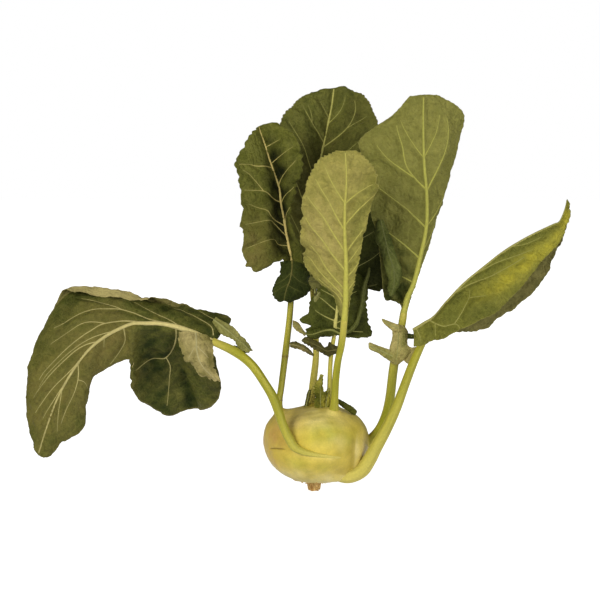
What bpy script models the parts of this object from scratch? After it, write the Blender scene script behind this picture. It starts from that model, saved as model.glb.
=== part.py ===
"""Kohlrabi with its leaves: the swollen stem, its root stub, and each leaf's stalk and blade.

Metres, +Z up, -Y is the front. The origin is the centre of the root stub's cut foot, on the
surface that the kohlrabi stands on. Each leaf is set out by hand in millimetres: the points of
its stalk, then rows of three points across its blade (midrib, one margin, the other margin).
"""

import math

import bmesh
import bpy
from mathutils import Vector

MM = 0.001
GAP = 0.3 * MM                  # clearance between neighbouring pieces

# Swollen stem: a superellipse turned about its axis
BULB_AXIS = (1.0 * MM, 0.0)
BULB_RADIUS = 39.75 * MM
BULB_WIDEST_Z = 38.0 * MM
BULB_TOP_RISE = 25.5 * MM
BULB_BOTTOM_DROP = 31.0 * MM
BULB_FLAT_Z = 9.3 * MM          # the base is cut flat here, round the root stub
BULB_TOP_POWER = 2.6
BULB_BOTTOM_POWER = 2.0
BULB_PROFILE_STEPS = 11         # in each half of the profile
BULB_SIDES = 40

# Root stub: a short woody frustum with an oval foot
STUB_FOOT_RADIUS = (5.3 * MM, 6.6 * MM)
STUB_FLARE = 1.15               # top size over foot size
STUB_SIDES = 14
STUB_RAGGEDNESS = 0.07

# Leaves
RIB_THICKNESS = 1.7 * MM
MARGIN_THICKNESS = 0.6 * MM
BLADE_GAP = 0.5 * MM            # from the end of the stalk to the blade
LEAFLET_THICKNESS = 0.9 * MM
BLADE_BELLY = 0.07              # bulge of each half blade over its width
CELLS_PER_ROW = 2
CELLS_ACROSS = 6
STALK_SEGMENTS = 12
STALK_BEVEL_RESOLUTION = 2

# name: stalk centre line, stalk radius at its foot and at the blade, rows (midrib, margin, margin)
LEAVES = {
    "left_drooping_leaf": {
        "stalk": [(-8, -27, 30), (-13, -37, 40), (-19, -39, 55), (-25, -39, 72),
                  (-33, -38, 87), (-44, -36, 102), (-58, -34, 111), (-73, -32, 117)],
        "radii": (3.6, 2.2),
        "rows": [((-83, -31, 121), (-74, -26, 109), (-65, -24, 134)),
                 ((-93, -29, 125), (-69, -16, 82), (-81, -8, 139)),
                 ((-103, -27, 128), (-81, -10, 67), (-95, -2, 143)),
                 ((-114, -26, 130), (-107, -4, 60), (-112, 2, 145)),
                 ((-124, -25, 130), (-129, -4, 69), (-128, 5, 147)),
                 ((-133, -25, 130), (-139, -10, 81), (-142, 7, 152)),
                 ((-142, -25, 127), (-136, -18, 102), (-157, 8, 155)),
                 ((-155, -26, 120), (-162, -22, 90), (-186, 4, 153)),
                 ((-167, -27, 110), (-169, -24, 71), (-200, -6, 129)),
                 ((-179, -29, 94), (-171, -28, 54), (-210, -14, 107)),
                 ((-189, -31, 76), (-186, -31, 41), (-214, -22, 78)),
                 ((-197, -33, 55), (-195, -33, 32), (-211, -28, 49)),
                 ((-204, -34, 33), (-200, -34, 31), (-207, -33, 37))],
    },
    "left_upright_leaf": {
        "stalk": [(-23, 4, 50), (-26, 9, 64), (-24, 11, 79), (-21, 13, 104),
                  (-18, 15, 132), (-17, 16, 154), (-17, 17, 169)],
        "radii": (2.4, 2.0),
        "rows": [((-18, 18, 178), (-28, 14, 173), (-12, 11, 180)),
                 ((-20, 20, 186), (-39, 9, 167), (-10, 8, 191)),
                 ((-21, 22, 197), (-53, 8, 185), (-13, 7, 203)),
                 ((-23, 25, 211), (-56, 11, 208), (-16, 6, 219)),
                 ((-27, 27, 227), (-56, 14, 228), (-10, 8, 234)),
                 ((-32, 29, 244), (-60, 20, 246), (-6, 15, 251)),
                 ((-36, 31, 258), (-53, 26, 262), (-11, 24, 262)),
                 ((-36, 31, 277), (-42, 31, 273), (-27, 30, 276))],
    },
    "back_leaf": {
        "stalk": [(-1, 9, 54), (-1, 11, 63), (-1, 15, 78), (2, 21, 100), (1, 28, 125),
                  (-1, 34, 148)],
        "radii": (2.5, 1.9),
        "rows": [((-4, 41, 170), (-18, 37, 179), (13, 38, 179)),
                 ((-4, 47, 193), (-27, 42, 213), (26, 43, 213)),
                 ((0, 54, 218), (-30, 48, 246), (42, 50, 244)),
                 ((5, 61, 246), (-26, 54, 276), (50, 57, 272)),
                 ((10, 67, 269), (-19, 61, 290), (47, 63, 288)),
                 ((14, 72, 288), (-7, 68, 297), (38, 70, 298)),
                 ((16, 75, 303), (6, 74, 301), (26, 75, 303))],
    },
    "front_leaf": {
        "stalk": [(13, -10, 54), (15, -15, 63), (16, -17, 73), (17, -21, 91), (20, -26, 114),
                  (22, -30, 133)],
        "radii": (3.3, 2.4),
        "rows": [((23, -33, 147), (16, -32, 153), (27, -35, 150)),
                 ((23, -37, 162), (1, -29, 173), (31, -40, 167)),
                 ((23, -40, 178), (-11, -33, 192), (35, -44, 190)),
                 ((22, -44, 198), (-10, -38, 213), (41, -48, 216)),
                 ((22, -48, 218), (-6, -43, 235), (47, -50, 237)),
                 ((23, -51, 237), (3, -48, 252), (41, -51, 249)),
                 ((22, -54, 258), (15, -53, 258), (30, -54, 258))],
    },
    "right_upright_leaf": {
        "stalk": [(33, 2, 33), (42, 2, 37), (51, 1, 50), (57, -1, 69), (60, -3, 92),
                  (63, -5, 111), (66, -7, 129)],
        "radii": (3.3, 2.4),
        "rows": [((71, -9, 143), (59, -8, 148), (75, -6, 150)),
                 ((75, -11, 159), (53, -12, 167), (80, -7, 168)),
                 ((79, -13, 179), (51, -12, 194), (88, -7, 196)),
                 ((83, -15, 201), (46, -8, 223), (97, -6, 224)),
                 ((83, -17, 225), (35, -8, 251), (105, -6, 254)),
                 ((81, -18, 247), (34, -10, 266), (112, -8, 280)),
                 ((80, -19, 272), (55, -14, 283), (104, -13, 291)),
                 ((80, -20, 298), (71, -18, 295), (91, -18, 299))],
    },
    "right_folded_leaf": {
        "stalk": [(12, -8, 17), (24, -15, 12), (35, -19, 18), (42, -21, 27), (50, -22, 40),
                  (56, -22, 57), (65, -21, 75), (73, -20, 96), (80, -19, 112)],
        "radii": (4.3, 2.6),
        "rows": [((87, -17, 132), (95, 2, 116), (74, -27, 114)),
                 ((98, -14, 144), (110, 8, 120), (97, -30, 121)),
                 ((112, -12, 157), (129, 11, 122), (122, -29, 132)),
                 ((128, -10, 170), (146, 12, 134), (137, -27, 141)),
                 ((144, -8, 182), (163, 11, 147), (151, -22, 154)),
                 ((161, -6, 193), (176, 9, 166), (164, -16, 169)),
                 ((178, -4, 202), (184, 4, 184), (180, -10, 186)),
                 ((189, -3, 218), (188, -2, 214), (191, -4, 211))],
    },
    "inner_leaf": {
        "stalk": [(11, -3, 54), (11, -2, 65), (11, -1, 78), (13, 1, 95), (14, 2, 108)],
        "radii": (1.8, 1.6),
        "rows": [((14, 2, 117), (-4, -5, 117), (30, -2, 115)),
                 ((15, 2, 128), (-10, -5, 129), (43, 2, 118)),
                 ((17, 3, 144), (-4, -3, 147), (40, 4, 141)),
                 ((20, 5, 163), (-1, 2, 170), (39, 6, 165)),
                 ((22, 7, 182), (6, 6, 187), (36, 7, 185)),
                 ((23, 9, 197), (18, 9, 200), (29, 9, 199))],
    },
    "shaded_leaf": {
        "stalk": [(19, 6, 53), (20, 8, 64), (22, 10, 79), (26, 13, 104), (32, 16, 129)],
        "radii": (1.9, 1.6),
        "rows": [((36, 17, 143), (24, 16, 149), (51, 11, 144)),
                 ((40, 19, 161), (24, 18, 172), (57, 10, 166)),
                 ((43, 21, 182), (24, 21, 194), (57, 12, 190)),
                 ((45, 24, 205), (29, 24, 215), (54, 18, 214)),
                 ((46, 27, 224), (38, 27, 229), (51, 26, 227))],
    },
}

# Small leaflets and bracts on the stalks and the crown: rows as in a blade
LEAFLETS = {
    "left_drooping_leaf_ear": [((-65, -29, 133), (-62, -28, 136), (-67, -30, 129)),
                               ((-60, -28, 125), (-56, -27, 125), (-63, -29, 122)),
                               ((-53, -28, 117), (-49, -27, 117), (-56, -29, 114)),
                               ((-47, -29, 110), (-46, -29, 111), (-50, -29, 108))],
    "left_upright_leaf_lobe": [((-14, 6, 176), (-18, 7, 175), (-10, 6, 177)),
                               ((-16, 4, 168), (-26, 7, 172), (-8, 5, 170)),
                               ((-18, 4, 159), (-29, 8, 160), (-5, 6, 158)),
                               ((-20, 5, 150), (-29, 9, 150), (-7, 6, 147)),
                               ((-21, 6, 143), (-25, 7, 143), (-14, 6, 143))],
    "left_stalk_leaflet": [((-16, 14, 125), (-16, 14, 123), (-16, 14, 128)),
                           ((-12, 13, 123), (-13, 13, 120), (-11, 13, 126)),
                           ((-9, 12, 120), (-10, 12, 118), (-8, 12, 121)),
                           ((-6, 12, 117), (-7, 12, 116), (-5, 12, 117))],
    "inner_stalk_leaflet": [((11, -3, 102), (12, -2, 99), (13, -5, 105)),
                            ((4, -9, 107), (3, -7, 103), (5, -11, 113)),
                            ((-4, -9, 111), (-5, -7, 106), (-4, -11, 116)),
                            ((-11, -8, 112), (-12, -7, 108), (-11, -9, 115)),
                            ((-17, -7, 111), (-16, -7, 109), (-16, -7, 113))],
    "right_stalk_wing": [((61, -9, 99), (58, -8, 99), (65, -9, 100)),
                         ((62, -11, 108), (56, -9, 107), (71, -11, 107)),
                         ((63, -13, 117), (57, -10, 117), (70, -12, 117)),
                         ((65, -14, 125), (60, -12, 127), (68, -13, 125))],
    "right_stalk_upper_leaflet": [((60, -16, 127), (57, -16, 123), (63, -16, 129)),
                                  ((56, -17, 129), (55, -17, 126), (57, -17, 131)),
                                  ((50, -18, 132), (50, -18, 131), (51, -18, 132))],
    "right_stalk_lower_leaflet": [((57, -13, 104), (57, -12, 99), (56, -13, 109)),
                                  ((50, -15, 109), (50, -14, 106), (50, -15, 112)),
                                  ((41, -17, 113), (41, -16, 111), (42, -17, 115))],
    "right_stalk_bridge": [((67, -14, 106), (64, -14, 102), (70, -14, 110)),
                           ((71, -15, 104), (68, -15, 100), (73, -16, 110)),
                           ((72, -16, 104), (70, -16, 97), (74, -17, 111))],
    "crown_right_bract": [((20, 0, 68), (20, 0, 66), (21, 0, 70)),
                          ((25, -5, 66), (23, -5, 64), (26, -4, 68)),
                          ((31, -10, 61), (29, -10, 60), (32, -9, 63))],
    "crown_left_bract": [((-8, 4, 65), (-10, 4, 65), (-7, 4, 65)),
                         ((-6, 5, 70), (-8, 5, 69), (-4, 5, 71)),
                         ((-4, 6, 75), (-5, 6, 75), (-2, 6, 76))],
    "crown_frill": [((5, -6, 65), (3, -5, 65), (8, -7, 65)),
                    ((5, -6, 73), (1, -4, 73), (10, -8, 74)),
                    ((5, -5, 82), (1, -4, 82), (7, -7, 82)),
                    ((5, -4, 90), (3, -4, 90), (7, -4, 89))],
}

# Finishes: base colour and roughness
FINISHES = {
    "bulb_skin": ((0.50, 0.44, 0.13), 0.45),
    "root_wood": ((0.36, 0.20, 0.08), 0.85),
    "leaf_stalk": ((0.44, 0.44, 0.10), 0.45),
    "leaf_upper_face": ((0.075, 0.10, 0.030), 0.60),
    "leaf_lower_face": ((0.20, 0.22, 0.07), 0.65),
    "pale_leaflet": ((0.30, 0.28, 0.14), 0.65),
}
BLADE_FINISHES = {
    "front_leaf": "leaf_lower_face",
    "right_upright_leaf": "leaf_lower_face",
}
LEAFLET_FINISHES = {
    "left_upright_leaf_lobe": "leaf_upper_face",
    "inner_stalk_leaflet": "leaf_upper_face",
    "crown_right_bract": "leaf_upper_face",
    "crown_left_bract": "leaf_upper_face",
    "crown_frill": "leaf_upper_face",
}


def clear_scene():
    for obj in list(bpy.data.objects):
        bpy.data.objects.remove(obj)


def new_collection(name):
    collection = bpy.data.collections.new(name)
    bpy.context.scene.collection.children.link(collection)
    return collection


def make_materials():
    materials = {}
    for name, (colour, roughness) in FINISHES.items():
        material = bpy.data.materials.new(name)
        material.use_nodes = True
        shader = material.node_tree.nodes["Principled BSDF"]
        shader.inputs["Base Color"].default_value = (*colour, 1.0)
        shader.inputs["Roughness"].default_value = roughness
        shader.inputs["Metallic"].default_value = 0.0
        materials[name] = material
    return materials


def add_object(name, mesh, collection, material=None):
    obj = bpy.data.objects.new(name, mesh)
    collection.objects.link(obj)
    if material:
        mesh.materials.append(material)
    return obj


def millimetres(points):
    return [Vector(point) * MM for point in points]


def spline_point(points, t):
    """Point at t, from 0 to 1, on the smooth curve through the points."""
    place = t * (len(points) - 1)
    index = min(int(place), len(points) - 2)
    s = place - index
    before = points[max(index - 1, 0)]
    start = points[index]
    end = points[index + 1]
    after = points[min(index + 2, len(points) - 1)]
    linear = (end - before) * s
    square = (2 * before - 5 * start + 4 * end - after) * s ** 2
    cube = (3 * start - before - 3 * end + after) * s ** 3
    return (2 * start + linear + square + cube) / 2


def superellipse_half(rise, power, grow):
    """Points (radius, height above the widest ring) from the ring to the pole."""
    points = []
    for step in range(BULB_PROFILE_STEPS + 1):
        angle = math.pi / 2 * step / BULB_PROFILE_STEPS
        radius = (BULB_RADIUS + grow) * math.cos(angle) ** (2 / power)
        height = (rise + grow) * math.sin(angle) ** (2 / power)
        points.append((max(radius, 0.0), height))
    return points


def bulb_profile(grow):
    """Bulb outline from the top pole to the bottom pole; grow moves it outwards."""
    flat_z = BULB_FLAT_Z - grow
    upper = [(r, BULB_WIDEST_Z + h) for r, h in superellipse_half(BULB_TOP_RISE, BULB_TOP_POWER, grow)]
    lower = []
    for radius, drop in superellipse_half(BULB_BOTTOM_DROP, BULB_BOTTOM_POWER, grow)[1:]:
        if BULB_WIDEST_Z - drop > flat_z:
            lower.append((radius, BULB_WIDEST_Z - drop))
    fall = (BULB_WIDEST_Z - flat_z) / (BULB_BOTTOM_DROP + grow)
    flat_radius = (BULB_RADIUS + grow) * math.sqrt(1 - fall ** 2)
    return upper[::-1] + lower + [(flat_radius, flat_z), (0.0, flat_z)]


def turn_bulb(name, grow, collection, material=None):
    """Turn the bulb profile about its axis with a Screw modifier."""
    profile = bulb_profile(grow)
    mesh = bpy.data.meshes.new(name)
    edges = [(i, i + 1) for i in range(len(profile) - 1)]
    mesh.from_pydata([(r, 0.0, z) for r, z in profile], edges, [])
    obj = add_object(name, mesh, collection, material)
    obj.location = (*BULB_AXIS, 0.0)
    screw = obj.modifiers.new("Turn", "SCREW")
    screw.steps = BULB_SIDES
    screw.render_steps = BULB_SIDES
    screw.use_merge_vertices = True
    screw.merge_threshold = 0.00005
    screw.use_smooth_shade = True
    return obj


def make_root_stub(collection, material):
    """Short tapered stump of the tap root, cut flat underneath, with a ragged side."""
    height = BULB_FLAT_Z - GAP
    bm = bmesh.new()
    bmesh.ops.create_cone(bm, cap_ends=True, segments=STUB_SIDES, radius1=1.0,
                          radius2=STUB_FLARE, depth=height)
    for vert in bm.verts:
        angle = math.atan2(vert.co.y, vert.co.x)
        ragged = 1 + STUB_RAGGEDNESS * math.sin(5 * angle + 1) * math.cos(2 * angle)
        vert.co.x *= STUB_FOOT_RADIUS[0] * ragged
        vert.co.y *= STUB_FOOT_RADIUS[1] * ragged
        vert.co.z += height / 2
    mesh = bpy.data.meshes.new("root_stub")
    bm.to_mesh(mesh)
    bm.free()
    return add_object("root_stub", mesh, collection, material)


def stalk_curve(name, points, radii, collection):
    """Round tapered bar along the stalk's centre line."""
    curve = bpy.data.curves.new(name + "_line", "CURVE")
    curve.dimensions = "3D"
    curve.bevel_depth = MM
    curve.bevel_resolution = STALK_BEVEL_RESOLUTION
    curve.use_fill_caps = True
    spline = curve.splines.new("POLY")
    spline.points.add(STALK_SEGMENTS)
    for i, point in enumerate(spline.points):
        t = i / STALK_SEGMENTS
        point.co = (*spline_point(points, t), 1.0)
        point.radius = radii[0] + (radii[1] - radii[0]) * t
    return add_object(name + "_line", curve, collection)


def mesh_from_curve(curve_object, name, collection, material):
    """Closed mesh object in place of the curve object, with its end caps welded."""
    depsgraph = bpy.context.evaluated_depsgraph_get()
    mesh = bpy.data.meshes.new_from_object(curve_object.evaluated_get(depsgraph))
    mesh.name = name
    bm = bmesh.new()
    bm.from_mesh(mesh)
    bmesh.ops.remove_doubles(bm, verts=bm.verts, dist=0.00001)
    bm.to_mesh(mesh)
    bm.free()
    obj = add_object(name, mesh, collection, material)
    obj.matrix_world = curve_object.matrix_world
    bpy.data.objects.remove(curve_object)
    return obj


def make_stalk(name, leaf, collection, material, bulb_clearance):
    """Leaf stalk whose foot is cut to the bulb's surface."""
    line = stalk_curve(name, millimetres(leaf["stalk"]), leaf["radii"], collection)
    stalk = mesh_from_curve(line, name, collection, material)
    stalk.data.shade_smooth()
    cut = stalk.modifiers.new("Seat on bulb", "BOOLEAN")
    cut.operation = "DIFFERENCE"
    cut.solver = "EXACT"
    cut.object = bulb_clearance
    return stalk


def base_row(leaf):
    """First row of the blade: straight across, just past the end of the stalk."""
    before, end = millimetres(leaf["stalk"][-2:])
    direction = (end - before).normalized()
    midrib = end + direction * BLADE_GAP
    _, margin_a, margin_b = millimetres(leaf["rows"][0])
    across = margin_b - margin_a
    across = (across - direction * across.dot(direction)).normalized()
    half_width = leaf["radii"][1] * MM
    return midrib, midrib - across * half_width, midrib + across * half_width


def sheet_point(rows, along, across):
    """Point on a blade: along from 0 to 1, across from -1 to 1 with the midrib at 0."""
    midrib = spline_point([row[0] for row in rows], along)
    side = 1 if across < 0 else 2
    margin = spline_point([row[side] for row in rows], along)
    reach = abs(across)
    width = margin - midrib
    step = 0.01
    ahead = spline_point([row[0] for row in rows], min(along + step, 1.0))
    behind = spline_point([row[0] for row in rows], max(along - step, 0.0))
    facing = (ahead - behind).cross(width).normalized()
    if side == 2:
        facing.negate()
    bulge = 4 * reach * (1 - reach) * BLADE_BELLY * width.length
    return midrib + width * reach + facing * bulge


def make_sheet(name, rows, cells_across, thickness, collection, material):
    """Blade or leaflet: a grid laid on its rows and thickened, thicker at the midrib."""
    cells_along = CELLS_PER_ROW * (len(rows) - 1)
    bm = bmesh.new()
    bmesh.ops.create_grid(bm, x_segments=cells_across, y_segments=cells_along, size=1.0)
    reach = []
    for vert in bm.verts:
        across = vert.co.x
        along = (vert.co.y + 1) / 2
        reach.append(abs(across))
        vert.co = sheet_point(rows, along, across)
    mesh = bpy.data.meshes.new(name)
    bm.to_mesh(mesh)
    bm.free()
    mesh.shade_smooth()
    obj = add_object(name, mesh, collection, material)
    rib = obj.vertex_groups.new(name="rib")
    for index, value in enumerate(reach):
        rib.add([index], max(1 - value, 0.0) ** 2, "REPLACE")
    solid = obj.modifiers.new("Thickness", "SOLIDIFY")
    solid.thickness = thickness[0]
    solid.offset = 0.0
    solid.vertex_group = rib.name
    solid.thickness_vertex_group = thickness[1] / thickness[0]
    return obj


def make_leaf(name, leaf, collection, materials, bulb_clearance):
    make_stalk(name + "_stalk", leaf, collection, materials["leaf_stalk"], bulb_clearance)
    rows = [base_row(leaf)] + [millimetres(row) for row in leaf["rows"]]
    finish = BLADE_FINISHES.get(name, "leaf_upper_face")
    make_sheet(name + "_blade", rows, CELLS_ACROSS, (RIB_THICKNESS, MARGIN_THICKNESS),
               collection, materials[finish])


def make_leaflet(name, rows, collection, materials):
    finish = LEAFLET_FINISHES.get(name, "pale_leaflet")
    make_sheet(name, [millimetres(row) for row in rows], CELLS_ACROSS // 3,
               (LEAFLET_THICKNESS, MARGIN_THICKNESS), collection, materials[finish])


def main():
    clear_scene()
    kohlrabi = new_collection("kohlrabi")
    cutters = new_collection("cutters")
    materials = make_materials()
    turn_bulb("bulb", 0.0, kohlrabi, materials["bulb_skin"])
    bulb_clearance = turn_bulb("bulb_clearance", GAP, cutters)
    bulb_clearance.hide_render = True
    bulb_clearance.display_type = "WIRE"
    make_root_stub(kohlrabi, materials["root_wood"])
    for name, leaf in LEAVES.items():
        make_leaf(name, leaf, kohlrabi, materials, bulb_clearance)
    for name, rows in LEAFLETS.items():
        make_leaflet(name, rows, kohlrabi, materials)


main()
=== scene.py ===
import math

import bmesh
import bpy
import numpy as np
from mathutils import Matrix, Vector
from mathutils.kdtree import KDTree


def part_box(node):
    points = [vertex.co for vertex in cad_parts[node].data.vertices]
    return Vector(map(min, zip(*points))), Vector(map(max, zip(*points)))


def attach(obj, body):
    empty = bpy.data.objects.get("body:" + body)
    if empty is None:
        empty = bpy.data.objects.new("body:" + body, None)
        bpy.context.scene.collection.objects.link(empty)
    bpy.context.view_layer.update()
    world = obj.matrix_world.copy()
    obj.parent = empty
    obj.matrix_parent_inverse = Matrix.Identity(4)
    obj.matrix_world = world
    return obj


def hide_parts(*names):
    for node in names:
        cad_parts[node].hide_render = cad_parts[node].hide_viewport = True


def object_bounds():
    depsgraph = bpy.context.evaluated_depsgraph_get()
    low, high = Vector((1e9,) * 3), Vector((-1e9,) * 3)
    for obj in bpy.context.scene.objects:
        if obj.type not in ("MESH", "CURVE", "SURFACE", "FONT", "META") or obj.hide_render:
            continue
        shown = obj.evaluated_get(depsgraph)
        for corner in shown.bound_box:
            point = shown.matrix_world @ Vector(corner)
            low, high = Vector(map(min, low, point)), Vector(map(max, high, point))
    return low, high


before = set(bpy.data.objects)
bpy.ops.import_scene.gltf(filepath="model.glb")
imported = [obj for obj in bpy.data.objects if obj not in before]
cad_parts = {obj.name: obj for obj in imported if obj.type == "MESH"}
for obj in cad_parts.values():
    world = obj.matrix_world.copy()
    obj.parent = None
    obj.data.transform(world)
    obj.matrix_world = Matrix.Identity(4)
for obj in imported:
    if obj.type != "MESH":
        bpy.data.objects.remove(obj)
cadLow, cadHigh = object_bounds()
mm = 0.001
body = "root"  # nothing on a kohlrabi is jointed
bulbLow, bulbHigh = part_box("bulb")
bulbAxis = 1.0 * mm  # the bulb stands this far right of the plant's middle
origin = np.array(((bulbLow[0] + bulbHigh[0]) / 2 - bulbAxis, (bulbLow[1] + bulbHigh[1]) / 2, cadLow[2]))
# Places below are in millimetres from the origin: right, back and up from the cut end of the root


# Shapes that every piece shares

def curveAt(points, places):  # smooth curve through the points; place 0 is the first point, 1 the second
    points = np.asarray(points, float)
    places = np.clip(np.asarray(places, float), 0, len(points) - 1)
    index = np.minimum(places.astype(int), len(points) - 2)
    s = (places - index)[..., None]
    before = points[np.maximum(index - 1, 0)]
    start = points[index]
    end = points[index + 1]
    after = points[np.minimum(index + 2, len(points) - 1)]
    bend = (2 * before - 5 * start + 4 * end - after) * s ** 2
    turn = (3 * start - before - 3 * end + after) * s ** 3
    return 0.5 * (2 * start + (end - before) * s + bend + turn)


def unit(vectors):
    return vectors / np.maximum(np.linalg.norm(vectors, axis=-1, keepdims=True), 1e-12)


def ramp(value, low, high):  # smooth step from 0 at low to 1 at high
    t = np.clip((value - low) / (high - low), 0, 1)
    return t * t * (3 - 2 * t)


def hump(value, middle, halfWidth):  # 1 in the middle, fading out to both sides
    return np.exp(-((value - middle) / halfWidth) ** 2)


def wobble(x, seed):  # smooth wave that never repeats, between about -1 and 1
    phases = np.random.default_rng(seed).uniform(0, 2 * math.pi, 4)
    waves = zip((1.0, 1.73, 2.91, 4.37), phases, (0.45, 0.30, 0.20, 0.15))
    return sum(np.sin(x * speed + phase) * weight for speed, phase, weight in waves)


def lumps(points, size, seed):  # smooth bumps in space, between about -1 and 1
    rng = np.random.default_rng(seed)
    total = np.zeros(points.shape[:-1])
    for _ in range(9):
        direction = unit(rng.normal(size=3)) * rng.uniform(0.7, 1.8) * 2 * math.pi / size
        total += np.sin(points @ direction + rng.uniform(0, 2 * math.pi))
    return total / 4


def addObject(name, data):
    item = bpy.data.objects.new(name, data)
    bpy.context.scene.collection.objects.link(item)
    return item


def meshPiece(name, points, faces, materials, faceMaterials=None, values=None, grain=None):
    mesh = bpy.data.meshes.new(name)
    mesh.from_pydata(np.reshape(points, (-1, 3)).tolist(), [], faces)
    for material in materials:
        mesh.materials.append(material)
    if faceMaterials is not None:
        mesh.polygons.foreach_set("material_index", np.asarray(faceMaterials, np.int32))
    mesh.shade_smooth()
    for key, value in (values or {}).items():
        layer = mesh.attributes.new(key, "FLOAT", "POINT")
        layer.data.foreach_set("value", np.asarray(value, np.float32).ravel())
    if grain is not None:
        layer = mesh.attributes.new("grain", "FLOAT_VECTOR", "POINT")
        layer.data.foreach_set("vector", np.asarray(grain, np.float32).ravel())
    return addObject(name, mesh)


def gridFaces(rows, columns, start=0, wrap=False):  # four-cornered cells between rows of points
    row = np.arange(rows - 1)[:, None] * columns
    column = np.arange(columns if wrap else columns - 1)[None, :]
    following = (column + 1) % columns
    corners = (row + column, row + following, row + columns + following, row + columns + column)
    return np.stack([corner.ravel() for corner in corners], 1) + start


def tubeFaces(rings, sides):  # the skin of a tube and the two caps that close it
    ends = [list(range(sides)), list(range((rings - 1) * sides, rings * sides))]
    return gridFaces(rings, sides, wrap=True).tolist() + ends


def outward(piece, weld=0.0):  # turn every face of a closed mesh outwards; points closer than weld become one
    tidy = bmesh.new()
    tidy.from_mesh(piece.data)
    if weld:
        bmesh.ops.remove_doubles(tidy, verts=tidy.verts, dist=weld)
    bmesh.ops.recalc_face_normals(tidy, faces=tidy.faces)
    tidy.to_mesh(piece.data)
    tidy.free()


def dress(piece, node):  # ride the body and stand for the node
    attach(piece, body)
    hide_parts(node)


# Materials

def newMaterial(name, specular):
    material = bpy.data.materials.new(name)
    material.use_nodes = True
    shader = material.node_tree.nodes["Principled BSDF"]
    shader.inputs["Specular IOR Level"].default_value = specular
    return material, material.node_tree, shader


def addNode(tree, kind, settings=None, inputs=None):
    node = tree.nodes.new(kind)
    for key, value in (settings or {}).items():
        setattr(node, key, value)
    for key, value in (inputs or {}).items():
        if isinstance(value, bpy.types.NodeSocket):
            tree.links.new(value, node.inputs[key])
        else:
            node.inputs[key].default_value = value
    return node


def mixColour(tree, factor, first, second, blend="MIX"):
    node = addNode(tree, "ShaderNodeMix", {"data_type": "RGBA", "blend_type": blend})
    for socket, value in ((node.inputs[0], factor), (node.inputs[6], first), (node.inputs[7], second)):
        if isinstance(value, bpy.types.NodeSocket):
            tree.links.new(value, socket)
        else:
            socket.default_value = value if isinstance(value, float) else (*value, 1.0)
    return node.outputs[2]


def remap(tree, value, low, high, outLow=0.0, outHigh=1.0):
    node = addNode(tree, "ShaderNodeMapRange", {"interpolation_type": "SMOOTHSTEP"},
                   {0: value, 1: low, 2: high, 3: outLow, 4: outHigh})
    return node.outputs[0]


def attribute(tree, name, output="Fac"):
    return addNode(tree, "ShaderNodeAttribute", {"attribute_name": name}).outputs[output]


def noiseAt(tree, coordinate, scale, detail=3.0, roughness=0.55):
    node = addNode(tree, "ShaderNodeTexNoise", None,
                   {"Vector": coordinate, "Scale": scale, "Detail": detail, "Roughness": roughness})
    return node.outputs["Fac"]


def calculate(tree, operation, first, second=0.0):
    return addNode(tree, "ShaderNodeMath", {"operation": operation}, {0: first, 1: second}).outputs[0]


def objectPlace(tree):
    return addNode(tree, "ShaderNodeTexCoord").outputs["Object"]


def vary(tree, colour, coordinate, scale, amount):  # lighten and darken a colour in small spots
    level = remap(tree, noiseAt(tree, coordinate, scale, 2.0), 0.28, 0.72, 1 - amount, 1 + amount)
    gain = addNode(tree, "ShaderNodeCombineColor", None, {0: level, 1: level, 2: level}).outputs[0]
    return mixColour(tree, 1.0, colour, gain, "MULTIPLY")


def addBump(tree, shader, height, strength, depth):
    inputs = {"Strength": strength, "Distance": depth * mm, "Height": height}
    bump = addNode(tree, "ShaderNodeBump", None, inputs)
    tree.links.new(bump.outputs["Normal"], shader.inputs["Normal"])


def cellEdge(tree, coordinate, scale):  # 0 on the borders between cells, growing towards their middles
    settings = {"feature": "DISTANCE_TO_EDGE"}
    cells = addNode(tree, "ShaderNodeTexVoronoi", settings, {"Vector": coordinate, "Scale": scale})
    return cells.outputs["Distance"]


# Finish of a leaf's face. Each face adds its own colours: shade and light for the mottled ground,
# deep for the dark areas, a deeper green and also painted shade in valleys, folds and under other leaves,
# glow for the bright patches, nearVein, margin and patch. It may change the values too.
bladeFinish = {
    "mottleScale": 60.0, "patchScale": 28.0, "spots": ((180.0, 0.08), (480.0, 0.09), (1300.0, 0.07)),
    "netScale": 190.0, "net": 0.26, "smallCells": 2.6, "bend": 0.006, "bendScale": 140.0,  # net of fine veins
    "halo": 0.45,  # paleness beside the veins
    "roughness": 0.6, "specular": 0.10, "relief": 0.75, "reliefDepth": 0.7, "grainScale": 380.0,
}
veinFinish = {"roughness": 0.5, "specular": 0.15, "relief": 0.25, "reliefDepth": 0.3, "grainScale": 700.0}


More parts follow.
